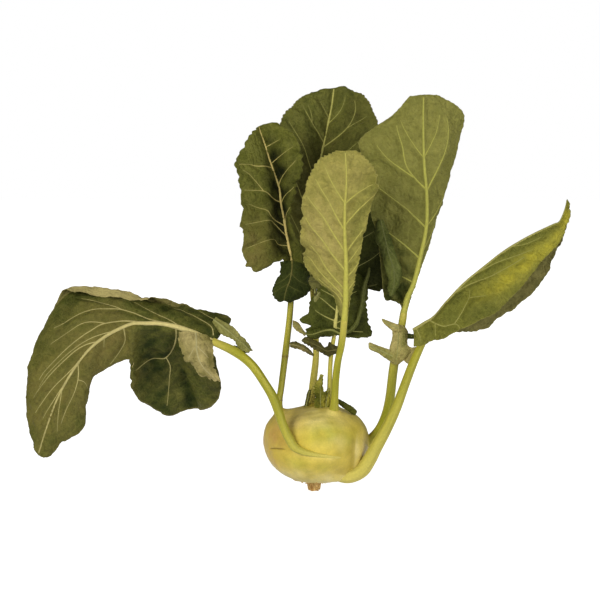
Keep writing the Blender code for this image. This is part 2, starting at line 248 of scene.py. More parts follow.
def bladeMaterial(name, changes):  # one face of a leaf: mottled, paler by the veins, tinted where told
    look = {**bladeFinish, "patch": changes["light"], "deep": changes["shade"], "glow": changes["light"]}
    look.update(changes)
    material, tree, shader = newMaterial(name, look["specular"])
    place = objectPlace(tree)
    broad = remap(tree, noiseAt(tree, place, look["mottleScale"], 4.0, 0.62), 0.36, 0.64)
    colour = mixColour(tree, broad, look["shade"], look["light"])
    patch = remap(tree, noiseAt(tree, place, look["patchScale"], 3.0, 0.6), 0.48, 0.68, 0.0, 0.5)
    colour = mixColour(tree, patch, colour, look["patch"])
    # painted shade: the deep colour darkens valleys, folds and parts under other leaves, besides some deeper
    # green
    deep = attribute(tree, "deep")
    colour = mixColour(tree, deep, colour, look["deep"])
    colour = mixColour(tree, attribute(tree, "glow"), colour, look["glow"])
    for scale, amount in look["spots"]:
        colour = vary(tree, colour, place, scale, amount)
    swirl = addNode(tree, "ShaderNodeTexNoise", None, {"Vector": place, "Scale": look["bendScale"]})
    bent = mixColour(tree, look["bend"], place, swirl.outputs["Color"])
    cells = cellEdge(tree, bent, look["netScale"])
    smallCells = cellEdge(tree, bent, look["netScale"] * look["smallCells"])
    faint = remap(tree, deep, 0.0, 1.0, 1.0, 0.25)  # the net hardly shows in the dark areas
    for net, width, share in ((cells, 0.07, 1.0), (smallCells, 0.11, 0.5)):
        line = remap(tree, net, 0.0, width, look["net"] * share, 0.0)
        colour = mixColour(tree, calculate(tree, "MULTIPLY", line, faint), colour, look["nearVein"])
    halo = calculate(tree, "MULTIPLY", attribute(tree, "vein"), look["halo"])
    halo = calculate(tree, "MULTIPLY", halo, faint)
    colour = mixColour(tree, halo, colour, look["nearVein"])
    edge = remap(tree, attribute(tree, "edge"), 0.975, 1.0, 0.0, 0.7)
    colour = mixColour(tree, edge, colour, look["margin"])
    tree.links.new(colour, shader.inputs["Base Color"])
    rough = remap(tree, broad, 0.0, 1.0, look["roughness"] + 0.07, look["roughness"] - 0.07)
    tree.links.new(rough, shader.inputs["Roughness"])
    puff = remap(tree, cells, 0.0, 0.3, 0.0, 0.8)
    smallPuff = remap(tree, smallCells, 0.0, 0.3, 0.0, 0.3)
    grain = calculate(tree, "MULTIPLY", noiseAt(tree, place, look["grainScale"], 4.0, 0.6), 0.7)
    relief = calculate(tree, "ADD", calculate(tree, "ADD", puff, smallPuff), grain)
    addBump(tree, shader, relief, look["relief"], look["reliefDepth"])
    return material


def veinMaterial(name, pale, thin):  # pale ribs, dulled in places towards the leaf's own colour
    material, tree, shader = newMaterial(name, veinFinish["specular"])
    place = objectPlace(tree)
    uneven = remap(tree, noiseAt(tree, place, 150.0), 0.3, 0.7, 0.7, 1.0)
    level = calculate(tree, "MULTIPLY", attribute(tree, "thin"), uneven)
    colour = vary(tree, mixColour(tree, level, pale, thin), place, 500.0, 0.08)
    tree.links.new(colour, shader.inputs["Base Color"])
    shader.inputs["Roughness"].default_value = veinFinish["roughness"]
    grain = noiseAt(tree, place, veinFinish["grainScale"])
    addBump(tree, shader, grain, veinFinish["relief"], veinFinish["reliefDepth"])
    return material


# Leaf blades. A place on a blade is a row number, with fractions between rows, and a share of the way
# from the midrib (0) to the first margin (-1) or the second margin (1). Row 0 is the end of its stalk,
# or the first row of a blade without a stalk. Where one margin is meant, it is 0 (first) or 1 (second).
leafHabit = {  # what every leaf has, unless its own dictionary says otherwise; in millimetres
    "thickness": 0.55, "upper": 1,  # upper: 1 where the upper face is seen from the front, -1 for the lower
    "cell": 1.0,  # times the usual edge of a cell
    "ribFade": 0.8,  # how far the midrib takes the leaf's own colour towards its tip
    "ruffle": 2.0, "ruffleLength": 9.0, "ripple": 0.5, "lobes": 0.8, "teeth": 0.8, "toothSpacing": 4.5,
    "quilt": 0.8, "swell": 0.5, "crinkle": 0.2,  # swelling between veins, and two sizes of bumps
    "bites": [],  # margin, row, half its length in rows, depth
    "dents": [],  # row, place across, half its rows, half its share, height
    "folds": {},  # margin: how it curls over
    # deep paints a deeper green and painted shade in valleys, folds and under other leaves; glow paints
    # bright patches
    "deep": [], "glow": [],  # row, place across, half its rows, half its share, strength
}
sheet = {
    "cell": 0.95 * mm,  # edge of one cell of a blade
    "foldColumns": 18,  # columns of cells on a curled margin
    "ribStep": 2.0 * mm, "veinPoints": 14,  # how finely the midrib and each stretch of a vein are drawn
    "veinReach": 0.985, "haloWidth": 1.1 * mm,
}


def bladeRows(leaf):  # each row: midrib, first margin, second margin
    rows = np.array(leaf["rows"], float)
    if "stalk" in leaf:  # the blade grows out of the end of its stalk
        before, end = np.array(leaf["stalk"][-2:], float)
        direction = unit(end - before)
        across = rows[0, 2] - rows[0, 1]
        across = unit(across - direction * (across @ direction)) * leaf["ribRadii"][0] * 0.8
        rows = np.concatenate([np.stack([end, end - across, end + across])[None], rows])
    return rows * mm + origin


def marginOffset(leaf, along, side, distance):  # how far teeth and bites move the margin outwards
    seed = leaf["seed"]
    spacing = leaf["toothSpacing"] * mm
    phase = distance / spacing * math.pi + 1.5 * wobble(distance / (3 * spacing), 7 + side + seed)
    height = leaf["teeth"] * mm * (0.75 + 0.6 * wobble(distance / (5 * spacing), 17 + side + seed))
    offset = -height * (1 - np.abs(np.sin(phase))) ** 0.8
    offset += leaf["lobes"] * mm * wobble(distance / (6 * mm), seed * 5 + side)
    for biteSide, place, halfRows, depth in leaf["bites"]:
        if biteSide == side:
            offset -= depth * mm * np.exp(-((along - place) / halfRows) ** 4)
    return offset


def prepareBlade(leaf):
    rows = bladeRows(leaf)
    blade = {"leaf": leaf, "rows": rows, "last": len(rows) - 1}
    steps = np.linspace(0, blade["last"], 400)
    rib = curveAt(rows[:, 0], steps)
    blade["steps"] = steps
    blade["ribLength"] = np.linalg.norm(np.diff(rib, axis=0), axis=1).sum()
    for side in (0, 1):
        margin = curveAt(rows[:, 1 + side], steps)
        gone = np.linalg.norm(np.diff(margin, axis=0), axis=1)
        blade["distance", side] = np.concatenate([[0], np.cumsum(gone)])
        blade["halfWidth", side] = np.linalg.norm(margin - rib, axis=1).max()
    return blade


def alongValue(value, along, last):  # a number, or a list of numbers spread evenly from base to tip
    if isinstance(value, (int, float)):
        return value
    return np.interp(along, np.linspace(0, last, len(value)), value)


# A curled margin: an arc, then a flat strip. It runs from the start row to the end row, eased in and out
# over so many rows; radius and strip are in millimetres, the turn in degrees.
def rollMargin(fold, seed, along, over, outwards, facing):
    easeIn, easeOut = fold["ease"]
    strength = ramp(along, fold["start"], fold["start"] + easeIn)
    strength = strength * (1 - ramp(along, fold["end"] - easeOut, fold["end"]))
    radius = fold["radius"] * mm
    turn = math.radians(fold["turn"]) * strength
    strip = fold["strip"] * mm * strength * (1 + fold["uneven"] * wobble(along * 2.2, seed + 3))
    gone = over * (radius * turn + strip + 0.1 * mm)
    angle = np.minimum(gone / radius, turn)
    rest = gone - radius * angle
    outMove = radius * np.sin(angle) + rest * np.cos(angle)
    upMove = radius * (1 - np.cos(angle)) + rest * np.sin(angle)
    return outwards * outMove[..., None] + facing * upMove[..., None]


def bladePoint(blade, along, across):  # place in space; across goes past -1 and 1 on a fold
    leaf, rows, last = blade["leaf"], blade["rows"], blade["last"]
    along, across = np.broadcast_arrays(np.asarray(along, float), np.asarray(across, float))
    rib = curveAt(rows[:, 0], along)
    forward = curveAt(rows[:, 0], along + 0.2) - curveAt(rows[:, 0], along - 0.2)
    seed = leaf["seed"]
    taper = ramp(along, 0.0, 0.8) * (1 - ramp(along, last - 0.3, last))
    result = np.zeros(along.shape + (3,))
    for side, sign in ((0, -1), (1, 1)):
        chosen = (across < 0) if side == 0 else (across >= 0)
        width = curveAt(rows[:, 1 + side], along) - rib
        span = np.linalg.norm(width, axis=-1)
        outwards = unit(width)
        facing = unit(np.cross(forward, outwards)) * -sign
        reach = np.minimum(np.abs(across), 1.0)
        distance = np.interp(along, blade["steps"], blade["distance", side])
        cut = marginOffset(leaf, along, side, distance) * taper
        belly = alongValue(leaf["belly"][side], along, last)
        lift = belly * span * np.sin(math.pi * reach) ** 1.4
        wave = wobble(distance / (leaf["ruffleLength"] * mm), seed + 31 * side)
        lift = lift + leaf["ruffle"] * mm * reach ** 2.2 * taper * wave
        ripple = wobble(distance / (2.0 * mm), seed + 57 + side)
        lift = lift + leaf["ripple"] * mm * reach ** 5 * taper * ripple
        for row, place, halfRows, halfReach, height in leaf["dents"]:
            if place * sign > 0:
                dent = height * mm * hump(along, row, halfRows) * hump(reach, abs(place), halfReach)
                lift = lift + dent * ramp(reach, 0, 0.12)
        point = rib + outwards * (span * reach + cut * reach ** 5)[..., None] + facing * lift[..., None]
        fold = leaf["folds"].get(side)
        if fold:
            over = np.maximum(np.abs(across) - 1, 0)
            out = unit(outwards - 2 * np.asarray(belly)[..., None] * facing)
            point = point + rollMargin(fold, seed, along, over, out, facing)
        result[chosen] = point[chosen]
    return result


def veinRuns(blade):  # every vein: where it runs on the sheet, its radius there and how thin it is
    leaf, last = blade["leaf"], blade["last"]
    places = np.linspace(0, last - 0.12, int(blade["ribLength"] / sheet["ribStep"]))
    stops = np.linspace(0, 1, len(leaf["ribRadii"]))
    ribRadius = np.interp(places / last, stops, leaf["ribRadii"]) * mm
    runs = [(places, places * 0, ribRadius, leaf["ribFade"] * (places / last) ** 1.5)]
    for side, foot, turns, size in leaf["veins"]:
        start = foot if isinstance(foot, tuple) else (foot, 0.0)
        points = np.array([start] + list(turns))
        stretches = len(points) - 1
        bends = curveAt(points, np.linspace(0, stretches, sheet["veinPoints"] * stretches))
        across = (-1, 1)[side] * np.clip(bends[:, 1], 0, sheet["veinReach"])
        fade = np.linspace(0.85, 0.45, len(bends))
        runs.append((bends[:, 0], across, size * mm * fade, np.linspace(0.3, 1, len(bends)) ** 0.7))
    return runs


def tubeTree():  # sweeps a round section along every spline, at the width stored on its points
    tree = bpy.data.node_groups.new("tubes", "GeometryNodeTree")
    inputs = (("Geometry", "Geometry"), ("Sides", "Int"), ("Width", "Float"), ("Finish", "Material"))
    for name, kind in inputs:
        tree.interface.new_socket(name, in_out="INPUT", socket_type="NodeSocket" + kind)
    tree.interface.new_socket("Geometry", in_out="OUTPUT", socket_type="NodeSocketGeometry")
    start = tree.nodes.new("NodeGroupInput")
    end = tree.nodes.new("NodeGroupOutput")
    circle = addNode(tree, "GeometryNodeCurvePrimitiveCircle", None, {"Radius": 1.0})
    radius = tree.nodes.new("GeometryNodeInputRadius")
    width = addNode(tree, "ShaderNodeMath", {"operation": "MULTIPLY"})
    sweep = addNode(tree, "GeometryNodeCurveToMesh", None, {"Fill Caps": True})
    smooth = tree.nodes.new("GeometryNodeSetShadeSmooth")
    realize = tree.nodes.new("GeometryNodeRealizeInstances")
    finish = tree.nodes.new("GeometryNodeSetMaterial")
    for source, target in ((start.outputs["Geometry"], sweep.inputs["Curve"]),
                           (start.outputs["Sides"], circle.inputs["Resolution"]),
                           (circle.outputs["Curve"], sweep.inputs["Profile Curve"]),
                           (radius.outputs[0], width.inputs[0]),
                           (start.outputs["Width"], width.inputs[1]),
                           (width.outputs[0], sweep.inputs["Scale"]),
                           (sweep.outputs["Mesh"], smooth.inputs["Geometry"]),
                           (smooth.outputs["Geometry"], realize.inputs["Geometry"]),
                           (realize.outputs["Geometry"], finish.inputs["Geometry"]),
                           (start.outputs["Finish"], finish.inputs["Material"]),
                           (finish.outputs["Geometry"], end.inputs["Geometry"])):
        tree.links.new(source, target)
    return tree


tubes = tubeTree()


def sweepTubes(name, lines, material, sides=7, width=1.0):  # a line: points, radii and thinness of one tube
    curve = bpy.data.curves.new(name + "Lines", "CURVE")
    curve.dimensions = "3D"
    for points, radii, thin in lines:
        spline = curve.splines.new("POLY")
        spline.points.add(len(points) - 1)
        spline.points.foreach_set("co", np.c_[points, np.ones(len(points))].ravel())
        spline.points.foreach_set("radius", np.asarray(radii, float))
    guide = addObject(name + "Lines", curve)
    modifier = guide.modifiers.new("Tubes", "NODES")
    modifier.node_group = tubes
    sockets = {item.name: item.identifier for item in tubes.interface.items_tree if item.in_out == "INPUT"}
    for key, value in (("Sides", sides), ("Width", width), ("Finish", material)):
        modifier[sockets[key]] = value
    bpy.context.view_layer.update()
    depsgraph = bpy.context.evaluated_depsgraph_get()
    mesh = bpy.data.meshes.new_from_object(guide.evaluated_get(depsgraph))
    bpy.data.objects.remove(guide)
    piece = addObject(name, mesh)
    outward(piece)
    thinness = np.repeat(np.concatenate([line[2] for line in lines]), sides)
    layer = mesh.attributes.new("thin", "FLOAT", "POINT")
    layer.data.foreach_set("value", thinness[:len(mesh.vertices)].astype(np.float32))
    return piece


def sheetGrid(blade, runs):  # the middle of the sheet, puffed up between its veins
    leaf = blade["leaf"]
    cell = leaf["cell"] * sheet["cell"]
    across = []
    for side, sign in ((0, -1), (1, 1)):
        half = np.linspace(0, 1, max(6, int(blade["halfWidth", side] / cell)))[1:]
        if side in leaf["folds"]:
            half = np.concatenate([half, np.linspace(1, 2, sheet["foldColumns"] + 1)[1:]])
        across.append(sign * half)
    across = np.concatenate([across[0][::-1], [0.0], across[1]])
    along = np.linspace(0, blade["last"], max(12, int(blade["ribLength"] / cell)) + 1)
    points = bladePoint(blade, along[:, None], across[None, :])
    normals = unit(np.cross(np.gradient(points, axis=1), np.gradient(points, axis=0)))
    places = np.concatenate([bladePoint(blade, run[0], run[1]) for run in runs])
    tree = KDTree(len(places))
    for index, place in enumerate(places):
        tree.insert(place, index)
    tree.balance()
    near = np.array([tree.find(place)[2] for place in points.reshape(-1, 3)]).reshape(points.shape[:2])
    inside = np.minimum(np.abs(across), 1)[None, :] * np.ones_like(near)
    puff = leaf["quilt"] * mm * ramp(near, 0.5 * mm, 5 * mm) * (1 - inside ** 6)
    puff += leaf["swell"] * mm * lumps(points, 16 * mm, leaf["seed"]) * ramp(near, 0, 4 * mm)
    puff += leaf["crinkle"] * mm * lumps(points, 5 * mm, leaf["seed"] + 1) * ramp(near, 0, 2 * mm)
    points = points + normals * (leaf["upper"] * puff)[..., None]
    normals = unit(np.cross(np.gradient(points, axis=1), np.gradient(points, axis=0)))
    return {"along": along, "across": across, "points": points, "normals": normals, "near": near,
            "inside": inside}


def between(grid, values, along, across):  # value on the sheet at any place between the cells
    rows, columns = len(grid["along"]), len(grid["across"])
    row = np.clip(along / grid["along"][1], 0, rows - 1.001)
    column = np.clip(np.interp(across, grid["across"], np.arange(columns)), 0, columns - 1.001)
    i, j = row.astype(int), column.astype(int)
    u, v = (row - i)[:, None], (column - j)[:, None]
    first = values[i, j] * (1 - v) + values[i, j + 1] * v
    second = values[i + 1, j] * (1 - v) + values[i + 1, j + 1] * v
    return first * (1 - u) + second * u


def veinLines(leaf, grid, runs):  # veins stand a little proud of the face that shows
    half = leaf["thickness"] * mm / 2
    sink = 0.5 if leaf["upper"] > 0 else 0.3
    lines = []
    for along, across, radius, thin in runs:
        points = between(grid, grid["points"], along, across)
        normals = unit(between(grid, grid["normals"], along, across))
        lines.append((points + normals * (half - sink * radius)[:, None], radius, thin))
    return lines


def sheetMesh(name, leaf, grid, materials):  # the blade as a closed shell with an upper and a lower face
    points, near, inside = grid["points"], grid["near"], grid["inside"]
    thick = leaf["thickness"] * mm * (1 - 0.45 * inside ** 4)[..., None]
    m, n = near.shape
    front = gridFaces(m, n)[:, ::-1]
    rear = gridFaces(m, n, m * n)
    loop = np.concatenate([np.arange(n), np.arange(1, m) * n + n - 1,
                           (m - 1) * n + np.arange(n - 2, -1, -1), np.arange(m - 2, 0, -1) * n])
    following = np.roll(loop, -1)
    rim = np.stack([following, following + m * n, loop + m * n, loop], 1)
    upperFace = 0 if leaf["upper"] > 0 else 1
    faceMaterials = np.repeat((upperFace, 1 - upperFace, 1), (len(front), len(rear), len(rim)))
    shell = np.stack([points + grid["normals"] * thick / 2, points - grid["normals"] * thick / 2])
    values = {"vein": np.exp(-(near / sheet["haloWidth"]) ** 1.3), "edge": inside}
    # deep holds deeper green and painted shade; glow holds the bright patches
    for key in ("deep", "glow"):
        level = np.zeros_like(near)
        for row, place, halfRows, halfShare, amount in leaf[key]:
            rowFade = hump(grid["along"][:, None], row, halfRows)
            acrossFade = hump(grid["across"][None, :], place, halfShare)
            level = np.maximum(level, amount * (rowFade * acrossFade))
        values[key] = np.clip(level * (1 + 0.35 * lumps(points, 11 * mm, leaf["seed"] + 5)), 0, 1)
    values = {key: np.tile(value.ravel(), 2) for key, value in values.items()}
    faces = np.concatenate([front, rear, rim]).tolist()
    return meshPiece(name, shell, faces, materials, faceMaterials, values)


def makeBlade(changes):
    leaf = {**leafHabit, **changes}
    name = leaf["name"]
    blade = prepareBlade(leaf)
    runs = veinRuns(blade)
    grid = sheetGrid(blade, runs)
    upper = bladeMaterial(name + "UpperFace", leaf["upperFace"])
    lower = bladeMaterial(name + "LowerFace", leaf["lowerFace"])
    piece = sheetMesh(name + "Blade", leaf, grid, [upper, lower])
    dress(piece, leaf["node"])
    ribs = veinMaterial(name + "VeinSkin", *leaf["veinColours"])
    veins = sweepTubes(name + "Veins", veinLines(leaf, grid, runs), ribs)
    dress(veins, leaf["node"])
    print(name, "made")


# Leaves. rows: midrib, first margin and second margin of each row, from the base to the tip.
# stalk: the last two points of its stalk. ribRadii: the midrib's radius from base to tip, in millimetres.
# belly: how far each side bulges, as a share of its width, one number or several from base to tip.
# veins: margin they run to, where they start (a row of the midrib, or a row and a share on another vein),
# the places they pass as (row, share), radius in millimetres. veinColours: pale, and dulled.

def tone(shade, light, nearVein, margin, **others):  # colours of one face of a leaf
    return {"shade": shade, "light": light, "nearVein": nearVein, "margin": margin, **others}


leftDroopingLeaf = {
    "name": "leftDroopingLeaf", "node": "left_drooping_leaf_blade", "seed": 3,
    "stalk": [(-58, -34, 111), (-73, -32, 117)], "ribRadii": (2.6, 1.9, 1.5, 1.25, 0.95, 0.6),
    "rows": [
        ((-83, -31, 121), (-74, -24, 109), (-61.5, -26, 133.5)),
        ((-93, -29, 125), (-68.5, -10, 79.5), (-79, -16, 138.5)),
        ((-103, -27, 128), (-81, 0, 62.5), (-95, -10, 140.5)),
        ((-114, -26, 130), (-107.5, 8, 54.5), (-112, -6, 141)),
        ((-124, -25, 130), (-129, 6, 65), (-128, -4, 146)),
        ((-133, -25, 130), (-137.5, -5, 82), (-142, -3, 150)),
        ((-142, -25, 127), (-136, -16, 102), (-157, -3, 152.5)),
        ((-155, -26, 120), (-162, -20, 90), (-184, -4, 151)),
        ((-167, -27, 110), (-169, -23, 71), (-200, -10, 129)),
        ((-179, -29, 94), (-171, -28, 54), (-210, -16, 107)),
        ((-189, -31, 76), (-186, -31, 41), (-214, -23, 78)),
        ((-197, -33, 55), (-195, -33, 32), (-211, -28, 49)),
        ((-204, -34, 33), (-200, -34, 31), (-207, -33, 37))],
    "belly": ((0.0, -0.04, -0.08, -0.02, 0.06, 0.06), (0.04, 0.06, 0.08, 0.08, 0.08, 0.04)), "ruffle": 1.5,
    "teeth": 0.35, "lobes": 0.5, "quilt": 1.5, "swell": 1.1, "crinkle": 0.3,
    "dents": [
        (3.5, -0.8, 0.3, 0.4, -8), (2.0, -0.75, 0.6, 0.4, 5), (4.6, -0.7, 0.9, 0.4, -3),
        (6.1, -0.5, 0.5, 0.5, 5), (9.0, -0.6, 0.6, 0.3, 1.5), (7.0, 0.75, 1.6, 0.2, -2),
        (9.6, 0.6, 0.8, 0.25, -1.5), (10.6, 0.5, 0.5, 0.3, 1.2)],
    "bites": [(0, 8.2, 0.18, 2.0), (0, 10.1, 0.35, -1.5), (0, 11.1, 0.2, 1.5), (0, 3.7, 0.12, 1.5)],
    "folds": {
        1: {"start": 2.3, "end": 8.75, "radius": 1.4, "turn": 188, "strip": 8.0, "ease": (3.4, 1.5),
         "uneven": 0.12}},
    "veins": [
        (1, 5.3, [(6.5, 0.1), (7.6, 0.19), (8.3, 0.21), (9.1, 0.3), (9.9, 0.43), (10.6, 0.62)], 0.72),
        (1, 8.4, [(9.1, 0.15), (9.9, 0.28), (10.6, 0.46), (11.1, 0.7)], 0.6),
        (1, 9.6, [(10.3, 0.1), (11.1, 0.35), (11.5, 0.62)], 0.55),
        (1, 10.5, [(11.2, 0.1), (11.7, 0.3)], 0.5),
        (1, 7.4, [(8.2, 0.08), (9.1, 0.2), (10.0, 0.36), (10.8, 0.58)], 0.5),
        (1, 2.7, [(4.5, 0.12), (6.5, 0.39), (7.4, 0.48), (8.1, 0.53), (8.7, 0.66), (9.0, 0.78)], 0.65),
        (1, (6.5, 0.39), [(7.2, 0.6), (7.8, 0.8)], 0.45),
        (1, 2.5, [(3.8, 0.28), (4.6, 0.46), (5.6, 0.74)], 0.55),
        (1, (7.6, 0.19), [(8.2, 0.36), (8.9, 0.5), (9.5, 0.68)], 0.42),
        (1, (0.6, 0.3), [(1.2, 0.42), (2.0, 0.55), (2.8, 0.68), (3.5, 0.86)], 0.5),
        (1, (0.7, 0.6), [(1.2, 0.66), (1.7, 0.74), (2.3, 0.9)], 0.4),
        (0, 6.9, [(7.0, 0.35), (7.3, 0.65), (7.6, 0.92)], 0.7),
        (0, 2.9, [(3.4, 0.22), (4.0, 0.4), (4.7, 0.47), (5.6, 0.7)], 0.8),
        (0, (4.0, 0.4), [(3.9, 0.5), (4.0, 0.64), (4.15, 0.9)], 0.6), (0, 8.0, [(7.9, 0.3)], 0.5),
        (0, 9.6, [(9.7, 0.2), (10.0, 0.31), (10.6, 0.42), (11.0, 0.56)], 0.6),
        (0, (9.75, 0.24), [(9.3, 0.48), (9.0, 0.72)], 0.45), (0, 10.7, [(11.1, 0.3), (11.3, 0.6)], 0.4),
        (0, 1.0, [(1.7, 0.35), (2.2, 0.75)], 0.6)],
    # deep: the flap's deeper green, with painted shade in its folds, where it hangs back under the midrib and
    # along the curled margin
    "deep": [
        (3.5, -0.8, 0.26, 0.4, 1.0), (4.6, -0.45, 1.3, 0.6, 0.85), (3.6, -0.3, 1.4, 0.25, 0.7),
        (1.8, -0.7, 1.4, 0.6, 0.7), (4.3, -0.9, 0.7, 0.3, 0.7), (0.8, 0.6, 2.2, 0.6, 0.8),
        (7.8, 0.85, 1.6, 0.25, 0.45), (3.4, 0.7, 2.0, 0.4, 0.7), (5.6, 0.95, 2.4, 0.2, 0.6)],
    "glow": [(7.6, -0.4, 1.3, 0.6, 0.8), (11.0, 0.1, 1.8, 0.9, 0.6), (8.6, 0.0, 1.6, 0.35, 0.6)],
    "upperFace": tone(
        (0.074, 0.08, 0.014), (0.12, 0.112, 0.022), (0.185, 0.168, 0.044), (0.175, 0.15, 0.047),
        deep=(0.017, 0.026, 0.004), glow=(0.148, 0.12, 0.03), patch=(0.135, 0.11, 0.03)),
    "lowerFace": tone((0.32, 0.265, 0.093), (0.44, 0.36, 0.14), (0.52, 0.45, 0.196), (0.38, 0.32, 0.119)),
    "veinColours": ((0.6, 0.51, 0.2), (0.225, 0.2, 0.066)),
}

leftUprightLeaf = {
    "name": "leftUprightLeaf", "node": "left_upright_leaf_blade", "seed": 5,
    "stalk": [(-17, 16, 154), (-17, 17, 169)], "ribRadii": (1.9, 1.5, 1.2, 0.7), "ribFade": 0.1,
    "rows": [
        ((-17, 17, 175), (-27, 15, 174), (-8, 10, 168)),
        ((-19, 18, 184), (-43, 10, 164.5), (-11, 15, 185)),
        ((-21, 19, 195), (-50, 7, 172), (-15, 16, 197)), ((-23, 20.5, 207), (-54, 7, 183), (-17, 17, 208)),
        ((-25, 21.5, 217), (-54, 8, 201), (-16, 17, 217)),
        ((-26, 22.5, 227), (-56, 10, 221), (-13, 16, 226)),
        ((-30, 24, 239), (-58, 11, 236.5), (-8, 14, 240)),
        ((-34, 25.5, 250), (-59.5, 13, 247), (-7, 15, 251)),
        ((-37, 27, 260), (-53.5, 17, 260), (-11, 17, 261)),
        ((-40, 28.5, 268), (-49, 22, 268), (-16, 22, 270)),
        ((-42, 30, 274), (-43, 28, 273), (-28, 28, 277))],
    "belly": ((0.05, 0.05, 0.05), (0.02, 0.05, 0.05)), "ruffle": 2.0, "ruffleLength": 7.0, "teeth": 1.8,
    "toothSpacing": 6.0, "quilt": 1.4, "swell": 0.9, "crinkle": 0.35,
    "dents": [
        (3.2, -0.5, 1.0, 0.16, 4.0), (5.0, -0.38, 1.3, 0.15, 4.5), (7.0, -0.26, 1.2, 0.14, 3.0),
        (8.0, 0.75, 0.8, 0.3, 2.0)],
    "bites": [
        (0, 0.6, 0.25, 4.0), (0, 2.9, 0.12, -2.5), (0, 5.0, 0.12, -3.0), (0, 5.5, 0.2, 1.5),
        (0, 6.2, 0.25, 1.5), (1, 8.6, 0.3, 1.5), (1, 6.4, 0.3, 1.5)],
    "veins": [
        (0, 7.35, [(7.5, 0.4), (7.7, 0.6), (7.85, 0.88)], 0.6),
        (0, 5.0, [(5.61, 0.26), (6.07, 0.46), (6.3, 0.9)], 0.65),
        (0, (6.05, 0.44), [(6.36, 0.5), (6.97, 0.66), (7.38, 0.82)], 0.4),
        (0, 3.3, [(4.48, 0.31), (5.12, 0.46), (5.67, 0.83)], 0.65),
        (0, 2.6, [(3.91, 0.24), (4.47, 0.42), (4.93, 0.9)], 0.55),
        (0, 2.0, [(2.63, 0.25), (3.24, 0.38), (3.84, 0.9)], 0.5), (1, 6.2, [(7.0, 0.4), (7.8, 0.8)], 0.5),
        (1, 7.6, [(8.2, 0.4), (8.8, 0.8)], 0.45), (1, 4.8, [(5.6, 0.4), (6.2, 0.85)], 0.5),
        (1, 3.2, [(4.0, 0.4), (4.6, 0.85)], 0.45), (1, 8.8, [(9.4, 0.5)], 0.4)],
    # deep: painted shade down the valley on both sides of the midrib and in the folds
    "deep": [
        (4.8, -0.14, 3.4, 0.26, 1.0), (3.2, -0.12, 2.6, 0.3, 1.0), (4.6, 0.3, 3.2, 0.5, 0.9),
        (7.0, 0.22, 3.0, 0.3, 1.0)],
    "glow": [(3.4, -0.85, 1.8, 0.4, 0.8)],
    # the deep colour is nearly black: painted shade for the valley
    "upperFace": tone(
        (0.083, 0.088, 0.013), (0.13, 0.13, 0.022), (0.175, 0.173, 0.04), (0.184, 0.182, 0.046),
        deep=(0.007, 0.009, 0.0015), glow=(0.152, 0.125, 0.03)),
    "lowerFace": tone((0.13, 0.13, 0.028), (0.19, 0.18, 0.042), (0.25, 0.24, 0.065), (0.18, 0.175, 0.045)),
    # veinColours: the midrib's own pale colour, made paler still and kept pale to its base (ribFade) as
    # painted light where it lies in the valley's shade
    "veinColours": ((0.66, 0.52, 0.17), (0.2, 0.19, 0.045)),
}

backLeaf = {
    "name": "backLeaf", "node": "back_leaf_blade", "seed": 8, "stalk": [(1, 28, 125), (-1, 34, 148)],
    "ribRadii": (1.9, 1.7, 1.6, 1.3, 0.6), "ribFade": 0.3,
    "rows": [
        ((-4, 41, 170), (-18, 37, 179), (13, 38, 179)), ((-4, 47, 193), (-27, 42, 213), (26, 43, 213)),
        ((0, 54, 218), (-30, 48, 246), (42, 50, 244)), ((5, 61, 246), (-26, 54, 276), (50, 57, 272)),
        ((10, 67, 269), (-18, 61, 289), (45.5, 63, 287)), ((14, 72, 288), (-7, 68, 297), (38, 70, 298)),
        ((16, 75, 303), (6, 74, 301), (26, 75, 303))],
    "belly": (0.07, 0.05), "ruffle": 1.8, "teeth": 1.0, "toothSpacing": 3.5, "quilt": 1.4, "swell": 1.2,
    "crinkle": 0.3,
    "dents": [(4.2, -0.45, 0.8, 0.15, 2.5), (4.9, 0.75, 0.8, 0.2, -2.5), (3.6, 0.6, 0.8, 0.2, 2)],
    "veins": [
        (0, 4.6, [(4.75, 0.2), (4.9, 0.42), (5.35, 0.78)], 0.7),
        (0, (4.9, 0.42), [(5.2, 0.5), (5.55, 0.7)], 0.45), (0, 5.5, [(6.0, 0.45)], 0.4),
        (1, 4.45, [(4.6, 0.41), (5.1, 0.62), (5.8, 0.71)], 0.7), (1, (4.65, 0.45), [(4.8, 0.85)], 0.4),
        (1, 5.3, [(5.6, 0.29), (6.3, 0.51)], 0.5), (0, 3.4, [(3.9, 0.45), (4.3, 0.85)], 0.6),
        (1, 3.3, [(3.7, 0.45), (4.0, 0.85)], 0.6), (0, 2.3, [(2.9, 0.45), (3.3, 0.85)], 0.6),
        (1, 2.2, [(2.7, 0.45), (3.1, 0.85)], 0.6), (0, 1.2, [(1.8, 0.45), (2.2, 0.85)], 0.5),
        (1, 1.1, [(1.7, 0.45), (2.1, 0.85)], 0.5)],
    "deep": [(4.0, 0.2, 1.2, 0.5, 0.5), (3.0, -0.3, 1.5, 0.5, 0.7), (5.2, 0.7, 1.0, 0.3, 0.5)],
    "upperFace": tone(
        (0.088, 0.092, 0.017), (0.138, 0.136, 0.027), (0.172, 0.174, 0.041), (0.184, 0.156, 0.045),
        deep=(0.062, 0.054, 0.013)),
    "lowerFace": tone((0.13, 0.13, 0.028), (0.19, 0.18, 0.042), (0.25, 0.24, 0.065), (0.18, 0.175, 0.045)),
    "veinColours": ((0.5, 0.46, 0.12), (0.19, 0.18, 0.045)),
}

